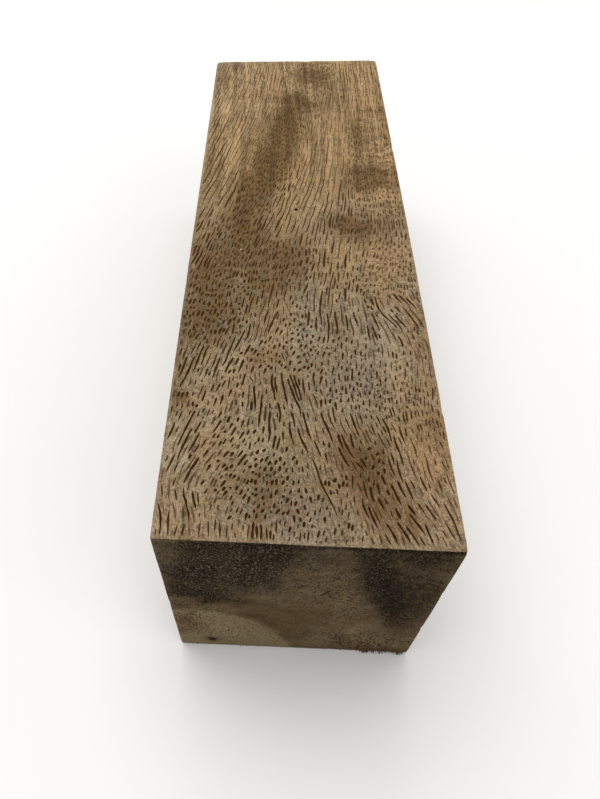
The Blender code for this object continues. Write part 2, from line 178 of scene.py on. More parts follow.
# Vessels that stand out on the near half of the top, read off one by one. Half-width
# and strength in hundredths, then points along the middle: distance from the
# left edge and from the near end, measured square to the sides.
DRAWN = (
    # wavy lines on open ground at the near left corner
    (13, 85, .15, 6.6, .5, 5.3, .85, 4.2, 1.05, 3.2, 1.15, 2.2, 1.1, .9), (12, 60, .6, 8.1, .7, 7.2, .85, 6.5),
    (12, 70, 2.35, 9.3, 2.1, 8.6, 2.0, 8.0), (13, 80, 2.35, 7.8, 2.4, 7.0, 2.7, 6.0), (12, 75, 1.95, 4.4, 1.95, 3.4, 2.05, 2.4, 2.1, 1.2),
    (13, 90, 3.4, 7.6, 3.5, 6.7, 3.9, 5.9, 4.1, 4.9, 4.4, 4.0, 4.55, 3.1),
    (15, 95, 4.6, 7.0, 4.75, 6.2, 5.0, 5.5, 5.15, 5.0), (12, 80, 5.25, 7.0, 5.45, 6.0, 5.5, 5.0, 5.65, 4.3), (16, 90, 5.95, 8.9, 5.6, 8.2),
    (14, 60, 6.4, 7.7, 6.15, 6.9), (11, 60, 5.3, 7.7, 5.1, 7.1), (11, 60, 3.15, 2.5, 3.0, 1.6, 2.9, .9), (12, 80, 4.0, 2.5, 3.9, 1.6, 3.8, .8),
    (11, 50, 5.9, 2.9, 5.9, 1.9, 5.85, 1.0), (11, 50, 6.9, 3.0, 7.0, 2.0, 7.05, 1.1), (12, 70, 7.7, 3.4, 7.85, 2.6, 7.7, 1.8),
    (12, 65, 8.3, 2.9, 8.4, 1.9, 8.5, .9), (11, 50, 9.2, 2.6, 9.3, 1.6, 9.2, 1.0), (12, 60, 9.9, 2.8, 9.85, 2.0), (11, 50, 10.2, 1.9, 10.3, .9),
    (11, 45, .6, 1.9, .65, .9), (11, 45, 5.75, 4.1, 5.8, 3.4), (11, 45, 7.1, 5.4, 7.0, 4.6), (11, 40, 8.0, 5.3, 7.95, 4.6),
    # big dark dots in from the near edge
    (22, 100, 8.7, 8.9, 8.1, 8.0), (24, 100, 9.35, 9.8, 9.1, 9.1), (22, 100, 9.85, 9.6, 9.5, 9.0), (20, 90, 10.35, 9.8, 10.1, 9.2),
    (20, 100, 8.9, 7.3, 8.5, 6.7), (26, 100, 9.35, 7.75, 9.2, 7.4), (17, 90, 8.65, 7.9, 8.4, 7.4), (17, 70, 7.75, 7.9, 7.4, 7.3),
    (14, 70, 7.95, 7.4, 7.75, 6.9), (14, 80, 8.3, 6.7, 8.1, 6.2), (13, 90, 9.6, 6.7, 9.45, 6.1), (14, 90, 9.85, 6.1, 9.7, 5.4),
    (12, 60, 9.75, 5.0, 9.6, 4.4), (27, 95, 9.9, 4.2, 9.5, 3.6, 9.15, 3.2), (13, 80, 10.5, 5.0, 10.3, 4.3), (13, 80, 11.0, 4.8, 10.8, 4.2),
    (15, 80, 11.2, 5.4, 11.0, 4.9), (20, 100, 11.6, 4.2, 11.45, 3.4), (15, 90, 11.95, 4.6, 11.9, 3.6), (17, 90, 10.25, 8.1, 10.1, 7.5),
    (15, 80, 10.9, 7.6, 10.6, 6.8), (15, 90, 11.4, 7.0, 11.0, 6.2), (17, 100, 11.9, 6.6, 11.6, 5.5), (18, 90, 12.25, 7.0, 12.0, 6.7),
    (18, 90, 12.75, 7.0, 12.5, 6.7), (13, 80, 11.2, 9.2, 11.0, 8.6), (16, 90, 11.65, 9.0, 11.4, 8.4), (16, 90, 12.1, 9.2, 12.0, 8.6),
    (19, 100, 12.55, 8.95, 12.5, 8.4), (18, 100, 12.75, 7.9, 12.5, 7.4), (15, 80, 11.7, 7.7, 11.45, 7.2), (14, 70, 13.5, 7.8, 13.3, 7.2),
    (15, 90, 13.55, 6.7, 13.5, 6.2), (14, 80, 13.75, 5.9, 13.7, 5.4), (30, 100, 13.7, 4.85, 13.5, 4.5), (15, 80, 13.15, 5.5, 12.9, 5.0),
    (16, 90, 12.65, 5.0, 12.45, 4.4), (15, 90, 12.85, 4.2, 12.75, 3.6), (14, 90, 13.95, 4.2, 13.85, 3.5), (13, 80, 14.05, 8.9, 14.0, 8.3),
    (17, 100, 14.75, 9.0, 14.6, 8.4), (20, 100, 15.25, 9.1, 15.2, 8.4), (13, 70, 14.25, 7.8, 14.15, 7.4), (15, 80, 14.65, 7.1, 14.5, 6.4),
    (18, 100, 15.35, 7.6, 15.1, 6.9), (15, 90, 15.0, 5.7, 14.95, 5.0), (22, 100, 15.6, 4.8, 15.2, 4.25), (15, 90, 14.75, 4.8, 14.55, 4.4),
    (14, 70, 15.45, 5.7, 15.3, 5.2), (17, 90, 16.2, 9.0, 16.0, 8.4), (16, 90, 16.75, 9.7, 16.65, 9.1), (14, 80, 16.65, 8.8, 16.6, 8.2),
    (13, 70, 16.4, 8.0, 16.3, 7.4), (18, 90, 16.2, 7.2, 16.1, 6.6), (20, 100, 16.7, 6.4, 16.5, 5.8), (13, 80, 15.95, 6.1, 15.9, 5.5),
    (15, 80, 17.45, 9.0, 17.4, 8.4), (15, 80, 17.15, 7.6, 17.0, 7.1), (13, 80, 17.2, 6.1, 17.1, 5.4), (16, 90, 17.8, 6.0, 17.6, 5.4),
    (14, 90, 18.15, 9.2, 18.1, 8.6), (14, 90, 18.2, 7.9, 18.1, 7.3), (17, 90, 18.25, 7.0, 18.5, 6.5), (16, 90, 18.95, 7.9, 19.15, 7.2),
    (20, 100, 19.45, 6.8, 19.7, 5.9), (13, 80, 20.1, 6.3, 20.0, 5.5), (18, 90, 20.65, 7.0, 20.5, 6.2), (14, 70, 21.2, 6.6, 21.1, 6.0),
    (15, 90, 18.75, 5.5, 18.9, 4.9), (17, 100, 17.85, 4.9, 18.1, 4.3), (22, 100, 17.4, 3.9, 17.5, 3.2), (15, 80, 16.9, 4.8, 16.6, 4.1),
    (16, 80, 16.3, 4.5, 16.0, 4.1), (14, 80, 19.25, 4.5, 19.1, 4.0), (15, 90, 18.2, 3.9, 18.3, 3.2), (13, 80, 19.55, 3.7, 19.4, 3.2),
    (13, 80, 20.1, 4.8, 20.05, 4.1), (13, 80, 20.8, 5.1, 20.7, 4.5), (18, 90, 21.25, 3.8, 21.3, 3.2), (14, 80, 21.65, 5.3, 21.55, 4.9),
    (13, 70, 22.0, 4.5, 21.95, 4.0), (17, 90, 18.75, 3.1, 18.65, 2.5), (12, 80, 18.0, 2.9, 17.9, 2.3), (16, 90, 17.05, 2.5, 16.85, 1.7),
    (12, 70, 16.4, 3.2, 16.3, 2.6), (12, 60, 15.8, 3.4, 15.7, 2.8), (11, 50, 10.7, 3.3, 10.6, 2.7), (11, 50, 11.2, 2.6, 11.2, 1.9),
    # strong short lines at the near edge
    (16, 100, 12.5, 3.3, 12.4, 2.2, 12.35, .8), (15, 100, 12.85, 2.5, 12.95, 1.5, 12.9, .7), (15, 100, 13.4, 2.6, 13.5, 1.6, 13.4, .7),
    (12, 90, 14.1, 2.4, 14.15, 1.4, 14.15, .7), (15, 100, 14.6, 1.9, 14.55, .6), (12, 90, 14.95, 1.4, 14.95, .5), (11, 85, 15.3, 3.1, 15.25, 2.0, 15.35, .9),
    (12, 80, 14.75, 2.8, 14.7, 2.3), (13, 60, 18.25, 1.7, 18.1, .4), (13, 70, 18.75, 1.7, 18.7, .9), (14, 70, 19.25, 1.9, 19.1, .6),
    (15, 70, 19.75, 2.8, 19.6, 2.2), (11, 60, 20.15, 3.1, 20.0, 2.3), (15, 70, 20.55, 2.0, 20.3, 1.1), (13, 70, 21.2, 2.0, 21.05, 1.4),
    (13, 70, 21.45, 1.1, 21.3, .5), (15, 70, 22.65, 2.4, 22.4, 1.5), (12, 60, 23.05, 2.9, 22.95, 2.2), (13, 70, 23.45, 2.2, 23.3, 1.4),
    (17, 90, 24.3, 3.1, 24.15, 2.3), (15, 90, 24.75, 2.9, 24.6, 2.1), (12, 60, 23.9, .8, 23.8, .4), (11, 60, 17.5, 1.9, 17.45, 1.1),
    (12, 55, 16.9, 1.2, 16.85, .6), (11, 50, 16.0, 2.0, 16.0, 1.2), (11, 50, 20.2, .9, 20.1, .5), (11, 50, 24.7, 1.3, 24.6, .6),
    # the long thin line and the blots beside it
    (16, 90, 21.6, 9.1, 21.55, 8.4),
    (17, 90, 22.05, 9.0, 22.05, 8.3), (15, 90, 22.15, 7.8, 22.25, 7.1), (14, 80, 22.65, 7.3, 22.6, 6.7), (32, 100, 22.95, 9.4, 22.7, 9.0),
    (18, 95, 23.3, 8.6, 23.35, 8.0), (17, 90, 23.95, 9.0, 23.75, 8.3), (16, 90, 24.3, 9.9, 24.4, 9.3), (15, 90, 24.4, 8.9, 24.3, 8.3),
    (13, 80, 23.0, 7.9, 23.1, 7.2), (11, 60, 23.1, 5.3, 23.2, 4.6), (11, 60, 23.6, 4.9, 23.5, 4.2), (12, 60, 24.4, 4.6, 24.2, 3.8),
    (11, 50, 23.5, 6.4, 23.45, 5.6), (11, 50, 24.1, 5.6, 24.0, 4.9), (11, 50, 24.3, 7.4, 24.2, 6.6),
    # lines leaning to the left on the reddish ground
    (13, 90, 26.15, 6.4, 26.3, 5.3, 26.55, 4.6, 26.8, 3.8), (15, 90, 26.9, 5.4, 27.1, 4.4, 27.45, 3.4, 27.75, 2.6), (13, 70, 26.55, 9.0, 26.6, 7.8, 26.8, 6.8),
    (16, 90, 27.35, 8.2, 27.4, 7.2, 27.6, 6.2), (13, 80, 27.9, 9.3, 27.75, 8.4), (16, 90, 28.2, 6.7, 28.5, 6.0, 28.8, 5.1), (15, 80, 28.3, 8.8, 28.35, 7.8, 28.5, 7.1),
    (17, 90, 28.95, 10.0, 29.15, 9.2, 29.35, 8.6), (20, 100, 29.35, 8.1, 29.65, 7.2), (14, 80, 29.0, 6.7, 29.3, 5.8), (24, 100, 30.25, 5.3, 30.5, 4.6, 30.8, 3.8),
    (16, 90, 30.1, 8.6, 30.4, 7.7, 30.7, 6.8, 31.05, 5.9), (16, 90, 31.0, 9.1, 31.3, 8.0, 31.75, 6.9),
    (14, 80, 32.0, 9.2, 32.2, 8.3, 32.5, 7.3, 32.65, 6.6), (12, 70, 32.6, 9.5, 32.9, 8.8, 33.1, 8.2), (18, 95, 31.9, 5.8, 32.3, 5.1, 32.7, 4.4),
    (15, 90, 32.0, 4.4, 32.55, 3.5, 33.1, 2.6, 33.5, 1.8), (14, 80, 33.2, 6.0, 33.6, 5.2, 33.9, 4.6), (15, 70, 34.2, 5.7, 34.7, 4.7, 35.2, 3.8),
    (13, 60, 34.95, 9.0, 35.1, 8.2), (13, 70, 34.0, 9.9, 34.35, 8.8, 34.6, 7.9), (13, 65, 35.1, 7.3, 35.5, 6.4, 35.9, 5.6),
    (13, 71, 36.55, 6.1, 36.9, 5, 37.25, 4, 37.5, 3.2, 37.6, 2.2, 37.9, 1), (12, 55, 36.3, 9.7, 36.5, 8.6, 36.6, 7.7), (13, 80, 28.6, 1.7, 29.0, .9, 29.25, .2),
    (15, 90, 29.0, 3.0, 29.4, 2.2, 29.8, 1.3, 30.05, .4), (16, 90, 30.35, 3.2, 30.85, 2.4, 31.2, 1.7, 31.6, .7), (15, 90, 31.4, 2.7, 31.8, 1.9, 32.3, 1.1, 32.7, .2),
    (15, 90, 33.8, 2.9, 34.1, 1.7, 34.4, .6), (13, 70, 32.9, 1.4, 33.4, .2), (12, 60, 35.8, 2.3, 36.2, 1.3), (12, 55, 36.3, 3.4, 36.8, 2.2, 37.2, 1.1),
    (12, 60, 26.9, 1.1, 27.15, .3), (12, 60, 25.9, 1.4, 25.75, .6), (12, 60, 26.25, 2.0, 26.55, 1.1), (13, 70, 27.3, 9.9, 27.2, 9.1),
    (13, 60, 37.0, 9.9, 37.3, 9.0), (13, 80, 25.15, 9.9, 25.1, 9.0, 25.05, 8.2), (12, 60, 25.15, 6.9, 25.15, 6.0), (13, 75, 26.2, 10.2, 26.2, 9.4),
    (12, 60, 25.4, 5.0, 25.5, 4.1), (12, 60, 29.6, 4.9, 29.8, 4.0), (11, 50, 34.9, 1.9, 35.2, .9),
    # long strokes leaning right up the left side
    (14, 85, 1.2, 17.9, .95, 16.5, .55, 15.2, .15, 14.1), (12, 80, 2.05, 19.9, 1.75, 18.8, 1.5, 17.6), (12, 70, 1.4, 19.9, 1.25, 19.0),
    (12, 75, 1.8, 17.4, 1.5, 16.2), (15, 95, 3.75, 19.9, 3.4, 18.8, 3.0, 17.6, 2.7, 16.6, 2.35, 15.6, 2.05, 14.2), (15, 95, 3.6, 16.9, 3.25, 15.8, 2.85, 14.6, 2.45, 13.3, 2.15, 12.1),
    (15, 90, 4.75, 18.0, 4.4, 17.1, 4.1, 16.3), (13, 80, 4.45, 20.0, 4.2, 19.0), (14, 90, 4.7, 16.1, 4.35, 15.1, 4.0, 14.3, 3.55, 13.2), (19, 90, 3.85, 12.9, 3.7, 12.1),
    (14, 80, 4.85, 14.4, 4.5, 13.6, 4.2, 12.9), (13, 80, 5.75, 15.3, 5.35, 14.4, 5.1, 13.8), (18, 94, 4.95, 12.2, 4.55, 11.3, 4.2, 10.7, 3.95, 10.2, 3.7, 9.3, 3.2, 8.1), (15, 90, 6.1, 13.6, 5.8, 12.8, 5.55, 12.3),
    (17, 95, 6.6, 11.3, 6.35, 10.7, 6.1, 10.2), (13, 80, 1.8, 12.8, 1.4, 11.5, 1.05, 10.3), (12, 70, 2.4, 11.7, 2.15, 10.8, 2.0, 10.1),
    (12, 70, 6.35, 20.1, 6.2, 19.5), (11, 60, .35, 19.6, .25, 18.9), (12, 70, 3.2, 20.0, 3.05, 19.3), (12, 60, .9, 12.6, .7, 11.6), (12, 60, 5.0, 19.0, 4.9, 18.4),
    # strokes and blots leaning right, thinning out to dots
    (15, 90, 7.5, 20.0, 7.25, 19.4, 7.1, 18.8), (16, 90, 7.5, 18.4, 7.2, 17.6, 6.9, 17.0, 6.6, 16.5), (30, 100, 8.65, 19.1, 8.4, 18.2), (20, 100, 9.1, 17.95, 8.75, 17.1),
    (17, 90, 8.35, 17.0, 8.1, 16.4), (15, 85, 7.4, 16.1, 7.2, 15.5), (18, 95, 9.85, 18.9, 9.8, 18.3), (15, 85, 10.65, 18.6, 10.45, 17.8, 10.35, 17.3),
    (15, 90, 10.75, 16.6, 10.45, 15.9, 10.1, 15.3), (15, 85, 11.4, 16.9, 11.2, 16.1), (18, 95, 12.3, 16.9, 12.05, 16.3), (15, 90, 9.35, 15.7, 9.1, 15.2, 8.9, 14.8),
    (15, 90, 8.4, 15.4, 8.15, 14.9, 7.95, 14.5), (22, 100, 7.75, 14.9, 7.5, 14.3), (13, 80, 7.3, 14.5, 7.2, 14.0), (13, 80, 9.4, 14.5, 9.25, 14.1),
    (22, 100, 8.8, 13.4, 8.45, 12.8, 8.2, 12.5), (16, 90, 8.0, 12.3, 7.7, 12.0, 7.4, 11.7), (19, 95, 9.45, 13.2, 9.15, 12.6), (15, 90, 10.75, 13.6, 10.4, 12.9, 10.05, 12.4),
    (18, 100, 11.15, 12.9, 10.8, 12.3, 10.45, 11.7, 10.15, 11.2), (15, 90, 11.4, 12.1, 11.1, 11.5, 10.9, 11.2), (20, 100, 8.5, 11.3, 8.2, 10.8), (17, 90, 9.45, 11.3, 9.2, 10.7),
    (17, 90, 8.85, 10.9, 8.6, 10.4), (14, 80, 10.9, 15.5, 10.65, 14.8), (14, 85, 11.75, 14.9, 11.6, 14.2, 11.55, 13.7), (30, 100, 12.75, 13.55, 12.6, 13.15),
    (30, 100, 13.65, 13.75, 13.45, 13.5), (20, 100, 12.7, 12.6, 12.4, 12.1), (22, 100, 13.3, 12.2, 13.15, 11.8), (16, 90, 14.15, 12.7, 13.85, 12.2, 13.7, 11.8),
    (18, 95, 14.45, 11.9, 14.2, 11.3), (17, 90, 11.95, 11.2, 11.6, 10.8), (18, 95, 12.6, 11.5, 12.4, 11.0), (17, 90, 12.35, 10.5, 12.1, 10.1),
    (17, 90, 13.8, 10.9, 13.6, 10.4), (17, 90, 14.65, 11.0, 14.5, 10.4), (18, 95, 15.25, 12.1, 15.05, 11.4), (17, 90, 15.75, 12.6, 15.65, 12.0),
    (16, 90, 15.7, 11.2, 15.6, 10.4), (18, 90, 16.65, 14.2, 16.5, 13.5), (24, 100, 17.6, 12.65, 17.35, 12.25), (15, 90, 17.95, 12.2, 17.9, 11.5),
    (13, 80, 17.3, 11.0, 17.35, 10.3), (15, 90, 16.35, 11.9, 16.15, 11.3), (13, 80, 14.95, 13.3, 14.85, 12.7), (14, 80, 16.6, 10.9, 16.5, 10.3),
    (13, 70, 10.0, 10.9, 9.8, 10.4), (13, 70, 11.1, 10.6, 10.9, 10.1), (13, 70, 18.6, 11.2, 18.7, 10.4), (13, 70, 13.2, 11.2, 13.0, 10.7),
    # long wavy lines, many in pairs, up the middle
    (17, 100, 14.25, 20.0, 14.2, 19.0, 14.15, 18.0, 14.2, 17.0, 14.3, 16.0, 14.1, 15.1),
    (15, 90, 13.45, 17.6, 13.4, 16.9, 13.3, 16.3), (15, 90, 12.85, 15.8, 12.75, 15.0), (13, 80, 12.45, 15.4, 12.35, 14.6), (14, 85, 13.45, 15.8, 13.3, 15.0),
    (17, 100, 15.05, 15.9, 14.9, 15.1, 14.75, 14.4, 14.75, 13.8), (14, 90, 15.65, 15.7, 15.5, 15.0, 15.3, 14.2, 15.25, 13.5), (14, 80, 16.05, 16.8, 16.1, 16.0, 16.1, 15.3),
    (13, 80, 15.25, 20.0, 15.3, 19.1), (14, 85, 17.0, 18.3, 17.0, 17.3, 17.1, 16.4, 17.3, 15.5, 17.5, 14.7),
    (15, 90, 17.2, 20.0, 17.5, 19.2, 17.65, 18.3, 17.65, 17.6),
    (15, 95, 18.15, 17.2, 18.25, 16.4, 18.5, 15.6, 18.85, 14.8, 19.25, 14.0, 19.4, 13.2), (15, 90, 18.85, 20.0, 19.0, 19.2, 19.2, 18.3, 19.35, 17.3, 19.6, 16.4, 19.85, 15.6),
    (13, 80, 19.45, 20.0, 19.6, 19.2), (13, 80, 20.0, 16.3, 20.25, 15.5, 20.55, 14.6, 20.9, 13.6, 21.1, 12.9), (12, 85, 19.8, 12.9, 20.15, 12, 20.45, 11, 20.7, 10.2, 20.7, 9.9, 21.05, 8.6, 21.5, 7.5, 21.85, 6.7, 22.2, 5.9, 22.6, 4.9, 22.9, 4),
    (16, 95, 21.4, 20.0, 21.6, 19.0, 21.9, 18.2, 22.2, 17.3, 22.5, 16.4, 22.75, 15.3), (14, 85, 21.5, 15.3, 21.6, 14.6), (15, 90, 22.3, 15.1, 22.35, 14.2),
    (13, 80, 18.65, 13.9, 18.65, 13.2), (12, 70, 19.35, 11.7, 19.35, 10.9), (14, 80, 21.7, 13.4, 21.8, 12.5, 22.0, 11.9), (12, 75, 20.95, 11.4, 21.0, 10.4),
    (12, 60, 21.5, 17.4, 21.6, 16.6), (12, 60, 20.6, 19.4, 20.7, 18.5), (12, 60, 16.2, 18.4, 16.2, 17.6), (12, 60, 11.9, 18.6, 11.8, 17.9),
    # the dark swirl and the lines that run into it
    (17, 100, 23.6, 16.4, 23.7, 15.6, 23.9, 14.9, 24.2, 14.1), (15, 95, 24.1, 16.3, 24.35, 15.4, 24.7, 14.4, 25.05, 13.4, 25.4, 12.8),
    (16, 95, 23.6, 14.2, 23.9, 13.2, 24.3, 12.2, 24.75, 11.4), (15, 90, 25.3, 16.4, 25.4, 15.4, 25.6, 14.4), (14, 95, 25.5, 20.0, 25.7, 19.2, 25.9, 18.2, 26.1, 17.2, 26.4, 16.4),
    (13, 80, 26.8, 19.9, 26.9, 19.0, 27.1, 18.2), (13, 80, 27.6, 19.9, 27.7, 19.2), (14, 85, 25.2, 12.7, 25.7, 12.1, 26.3, 11.4, 26.8, 10.6), (16, 90, 26.4, 12.6, 26.8, 11.8, 27.1, 11.1),
    (22, 100, 28.85, 13.5, 28.6, 13.2), (20, 90, 27.8, 14.3, 27.5, 14.05), (20, 95, 28.05, 11.5, 27.9, 11.0), (20, 95, 29.4, 11.0, 29.4, 10.4),
    (17, 90, 28.6, 10.6, 28.5, 10.1), (15, 85, 28.9, 12.5, 28.7, 12.0), (15, 85, 27.2, 12.9, 27.0, 12.3), (14, 80, 29.5, 14.2, 29.6, 13.4), (15, 85, 29.3, 12.3, 29.5, 11.6),
    (13, 75, 26.3, 14.6, 26.5, 13.7), (13, 70, 26.5, 15.7, 26.7, 15.0), (13, 70, 28.5, 15.6, 28.6, 14.8), (14, 80, 27.4, 10.6, 27.6, 10.1),
    (14, 80, 29.9, 19.2, 30.3, 18.3, 30.55, 17.4, 30.7, 16.4, 30.8, 15.5), (14, 85, 31.2, 16.3, 31.3, 15.3, 31.5, 14.4, 31.8, 13.4, 31.9, 12.4, 32.0, 11.7),
    (13, 80, 30.5, 13.6, 30.7, 12.6, 30.8, 11.8), (13, 80, 31.2, 12.4, 31.25, 11.5, 31.35, 10.5, 31.45, 9.7, 31.65, 8.9, 31.9, 8.2), (13, 70, 32.1, 18.0, 32.2, 17.0, 32.4, 16.0, 32.6, 15.2),
    (13, 75, 32.9, 17.8, 33.0, 17.0, 33.0, 16.3), (12, 60, 28.9, 18.6, 29.15, 17.7), (12, 60, 29.5, 17.4, 29.7, 16.5), (12, 55, 36.0, 17.0, 36.05, 16.2),
    (12, 50, 35.0, 16.2, 34.95, 15.4), (12, 55, 34.45, 16.7, 34.4, 16.1), (12, 50, 36.25, 12.7, 36.35, 11.7), (12, 55, 37.2, 12.4, 37.45, 11.3), (12, 50, 33.4, 12.6, 33.5, 11.7),
    # strokes leaning right at the left edge, dark knots beside them
    (15, 90, 1.75, 29.9, 1.6, 29.0, 1.4, 28.0, 1.15, 27.0, .95, 26.1), (15, 95, 2.85, 30.0, 2.6, 29.0, 2.4, 28.0, 2.15, 27.0, 1.9, 26.0, 1.6, 25.2, 1.25, 24.2),
    (15, 90, .95, 28.4, .8, 27.2, .6, 26.0, .45, 25.0),
    (13, 80, 3.75, 27.9, 3.6, 27.1), (14, 90, 6.6, 29.8, 6.4, 29.0, 6.2, 28.0, 6.0, 27.0, 5.8, 26.0),
    (17, 100, 8.6, 29.9, 8.3, 29.2, 8.0, 28.5, 7.7, 27.8, 7.6, 27.2), (17, 95, 8.35, 27.6, 8.1, 26.9), (17, 100, 8.95, 27.8, 8.8, 27.0), (16, 95, 9.4, 30.0, 9.2, 29.2, 9.0, 28.6),
    (16, 95, 10.2, 29.6, 10.0, 28.8, 9.75, 28.0, 9.5, 27.2), (17, 90, 11.4, 29.9, 11.2, 29.2), (17, 95, 11.7, 28.4, 11.5, 27.7, 11.35, 27.1), (14, 85, 5.4, 27.1, 5.25, 26.5),
    (14, 85, 5.0, 27.8, 4.85, 27.0, 4.75, 26.3), (15, 90, 10.5, 26.8, 10.35, 25.9, 10.2, 24.9), (11, 80, 11.1, 26.8, 11.4, 26.1, 11.65, 25.5), (16, 95, 9.55, 25.2, 9.4, 24.3),
    (14, 85, 7.75, 25.6, 7.5, 25.0, 7.25, 24.4), (14, 85, 7.0, 25.0, 6.75, 24.3, 6.5, 23.6), (14, 85, 6.1, 24.8, 5.9, 24.0, 5.75, 23.4), (15, 85, 8.7, 24.0, 8.5, 23.4, 8.3, 22.6),
    (16, 100, 11.95, 25.2, 11.85, 24.4, 11.95, 23.5, 12.1, 22.4, 12.1, 21.4, 12.2, 20.6), (15, 93, 13.1, 23, 13, 22, 13.05, 20.9, 12.85, 20, 12.8, 19, 12.75, 18, 12.7, 17), (18, 100, 11.65, 21.9, 11.6, 21.0, 11.6, 20.2),
    (25, 90, 1.3, 23.2, 1.15, 22.6), (24, 90, 1.85, 23.1, 1.75, 22.6), (17, 90, 2.5, 23.4, 2.4, 22.4), (20, 100, 4.0, 21.0, 3.9, 20.4), (16, 90, 3.4, 21.6, 3.4, 20.8),
    (14, 85, 5.0, 23.6, 4.85, 22.7, 4.7, 21.8), (14, 83, 6.65, 22.3, 6.4, 21.3, 6.2, 20.3, 6.05, 19.2, 5.75, 18.3, 5.55, 17.6), (15, 85, 7.55, 22.9, 7.35, 22.0, 7.25, 21.2), (15, 85, 10.4, 23.6, 10.3, 22.5),
    (14, 80, 9.4, 22.1, 9.45, 21.1), (14, 80, 10.3, 21.9, 10.35, 20.9), (13, 70, 3.3, 23.4, 3.25, 22.7), (13, 70, 2.0, 21.2, 1.9, 20.5), (13, 70, 1.3, 21.4, 1.2, 20.7),
    (12, 60, 4.4, 26.0, 4.3, 25.2), (12, 60, 3.5, 25.6, 3.4, 24.8), (12, 60, 8.9, 26.4, 8.75, 25.6), (12, 60, 12.8, 25.6, 12.7, 24.8), (12, 60, 5.6, 21.8, 5.5, 21.0),
    # the long lines of the middle, going on
    (17, 100, 14.5, 26.8, 14.4, 26.0, 14.4, 25.2, 14.6, 24.3, 14.8, 23.3, 14.9, 22.3), (14, 90, 14.9, 26.4, 14.9, 25.4, 15.05, 24.4, 15.2, 23.4), (16, 93, 15.15, 22.3, 15.35, 21.4, 15.6, 20.4, 15.7, 20, 15.65, 19.2, 15.6, 18.4),
    (15, 95, 15.8, 27.1, 15.9, 26.3, 16.0, 25.4, 16.15, 24.4, 16.35, 23.4, 16.5, 22.4, 16.7, 21.4), (16, 95, 16.75, 26, 16.95, 25.2, 17.3, 24.2, 17.55, 23.2, 17.85, 22.2, 18.2, 21.4, 18.5, 20.5, 18.45, 20, 18.65, 19, 18.8, 18, 18.9, 17, 19.05, 16.2, 19.35, 15.4, 19.8, 14.4),
    (15, 95, 17.1, 26.8, 17.3, 26.0, 17.6, 25.0, 17.85, 24.0, 18.05, 23.0, 18.35, 22.2), (15, 95, 17.65, 26.8, 17.75, 26.0, 18.0, 25.2, 18.3, 24.3, 18.5, 23.3, 18.7, 22.3),
    (15, 92, 18.35, 26, 18.5, 25, 18.7, 24.2, 18.85, 23.4, 19, 22.4, 19.1, 21.5, 19.3, 20.6), (13, 90, 18.95, 26.2, 18.95, 25.2, 19.1, 24.2, 19.15, 23.3), (13, 90, 19.8, 25.6, 19.8, 24.8, 19.9, 24.0),
    (14, 85, 20.6, 27.4, 20.45, 26.6, 20.5, 25.8, 20.6, 25.1), (15, 90, 21.9, 28.2, 21.7, 27.7, 21.45, 27.2), (15, 90, 21.8, 26.8, 21.5, 26.0, 21.35, 25.2), (14, 85, 20.8, 24.6, 20.85, 23.9),
    (13, 80, 14.1, 21.6, 14.3, 20.7), (13, 80, 16.1, 21.4, 16.3, 20.5), (13, 75, 13.7, 24.2, 13.7, 23.3), (12, 70, 17.2, 21.6, 17.4, 20.7),
    # dots on the golden and grey ground beyond them
    (16, 90, 15.6, 29.6, 15.4, 29.1), (15, 90, 15.95, 29.0, 15.75, 28.6), (15, 90, 16.55, 28.6, 16.3, 28.1), (20, 100, 12.75, 28.7, 12.5, 28.1), (17, 95, 13.25, 29.4, 13.05, 28.9),
    (17, 95, 13.55, 28.1, 13.35, 27.5, 13.2, 27.0), (16, 90, 14.0, 28.7, 13.8, 28.1), (17, 95, 14.45, 28.4, 14.2, 27.9), (20, 100, 17.15, 29.6, 17.05, 28.8), (22, 100, 18.65, 29.5, 18.35, 29.15),
    (18, 95, 17.8, 28.2, 17.6, 27.6), (18, 95, 18.65, 28.1, 18.35, 27.6), (17, 95, 19.3, 28.7, 19.15, 28.2), (17, 95, 19.85, 28.6, 19.7, 28.0), (16, 95, 20.3, 29.3, 20.25, 28.5),
    (14, 80, 23.6, 28.6, 23.4, 27.8, 23.25, 27.2), (13, 80, 24.4, 29.6, 24.25, 28.8), (14, 85, 26.3, 28.2, 26.2, 27.2, 26.1, 26.2), (14, 80, 25.5, 28.6, 25.4, 27.8), (15, 85, 27.3, 27.8, 27.2, 27.1),
    (14, 80, 29.2, 29.4, 29.1, 28.6), (14, 80, 29.9, 28.0, 29.8, 27.2, 29.8, 26.4), (13, 80, 29.8, 25.8, 29.65, 25.1), (14, 80, 31.1, 26.7, 31.0, 26.0), (13, 80, 28.3, 28.6, 28.2, 27.8),
    (13, 80, 31.4, 29.6, 31.3, 28.9), (13, 80, 32.6, 27.2, 32.5, 26.3), (13, 80, 33.5, 29.2, 33.4, 28.4), (14, 85, 34.6, 29.9, 34.6, 29.0), (15, 90, 21.5, 22.4, 21.4, 21.6, 21.5, 20.8),
    (14, 85, 22.05, 22.6, 22.05, 21.6), (16, 90, 22.75, 22.5, 22.7, 21.8), (16, 90, 23.4, 22.0, 23.5, 21.2, 23.6, 20.6), (14, 80, 24.3, 22.7, 24.3, 22.0), (14, 80, 25.4, 22.8, 25.3, 22.1),
    (14, 80, 26.3, 24.9, 26.2, 24.2), (14, 80, 27.4, 25.6, 27.3, 24.9), (14, 80, 28.6, 24.2, 28.5, 23.5), (14, 80, 30.0, 23.6, 29.9, 22.9), (14, 80, 24.7, 25.0, 24.6, 24.3),
    (14, 80, 23.8, 24.4, 23.7, 23.7), (14, 80, 22.9, 24.6, 22.8, 23.9), (14, 80, 27.5, 22.4, 27.4, 21.6), (14, 80, 26.4, 21.5, 26.3, 20.8), (14, 80, 24.4, 20.9, 24.4, 20.2),
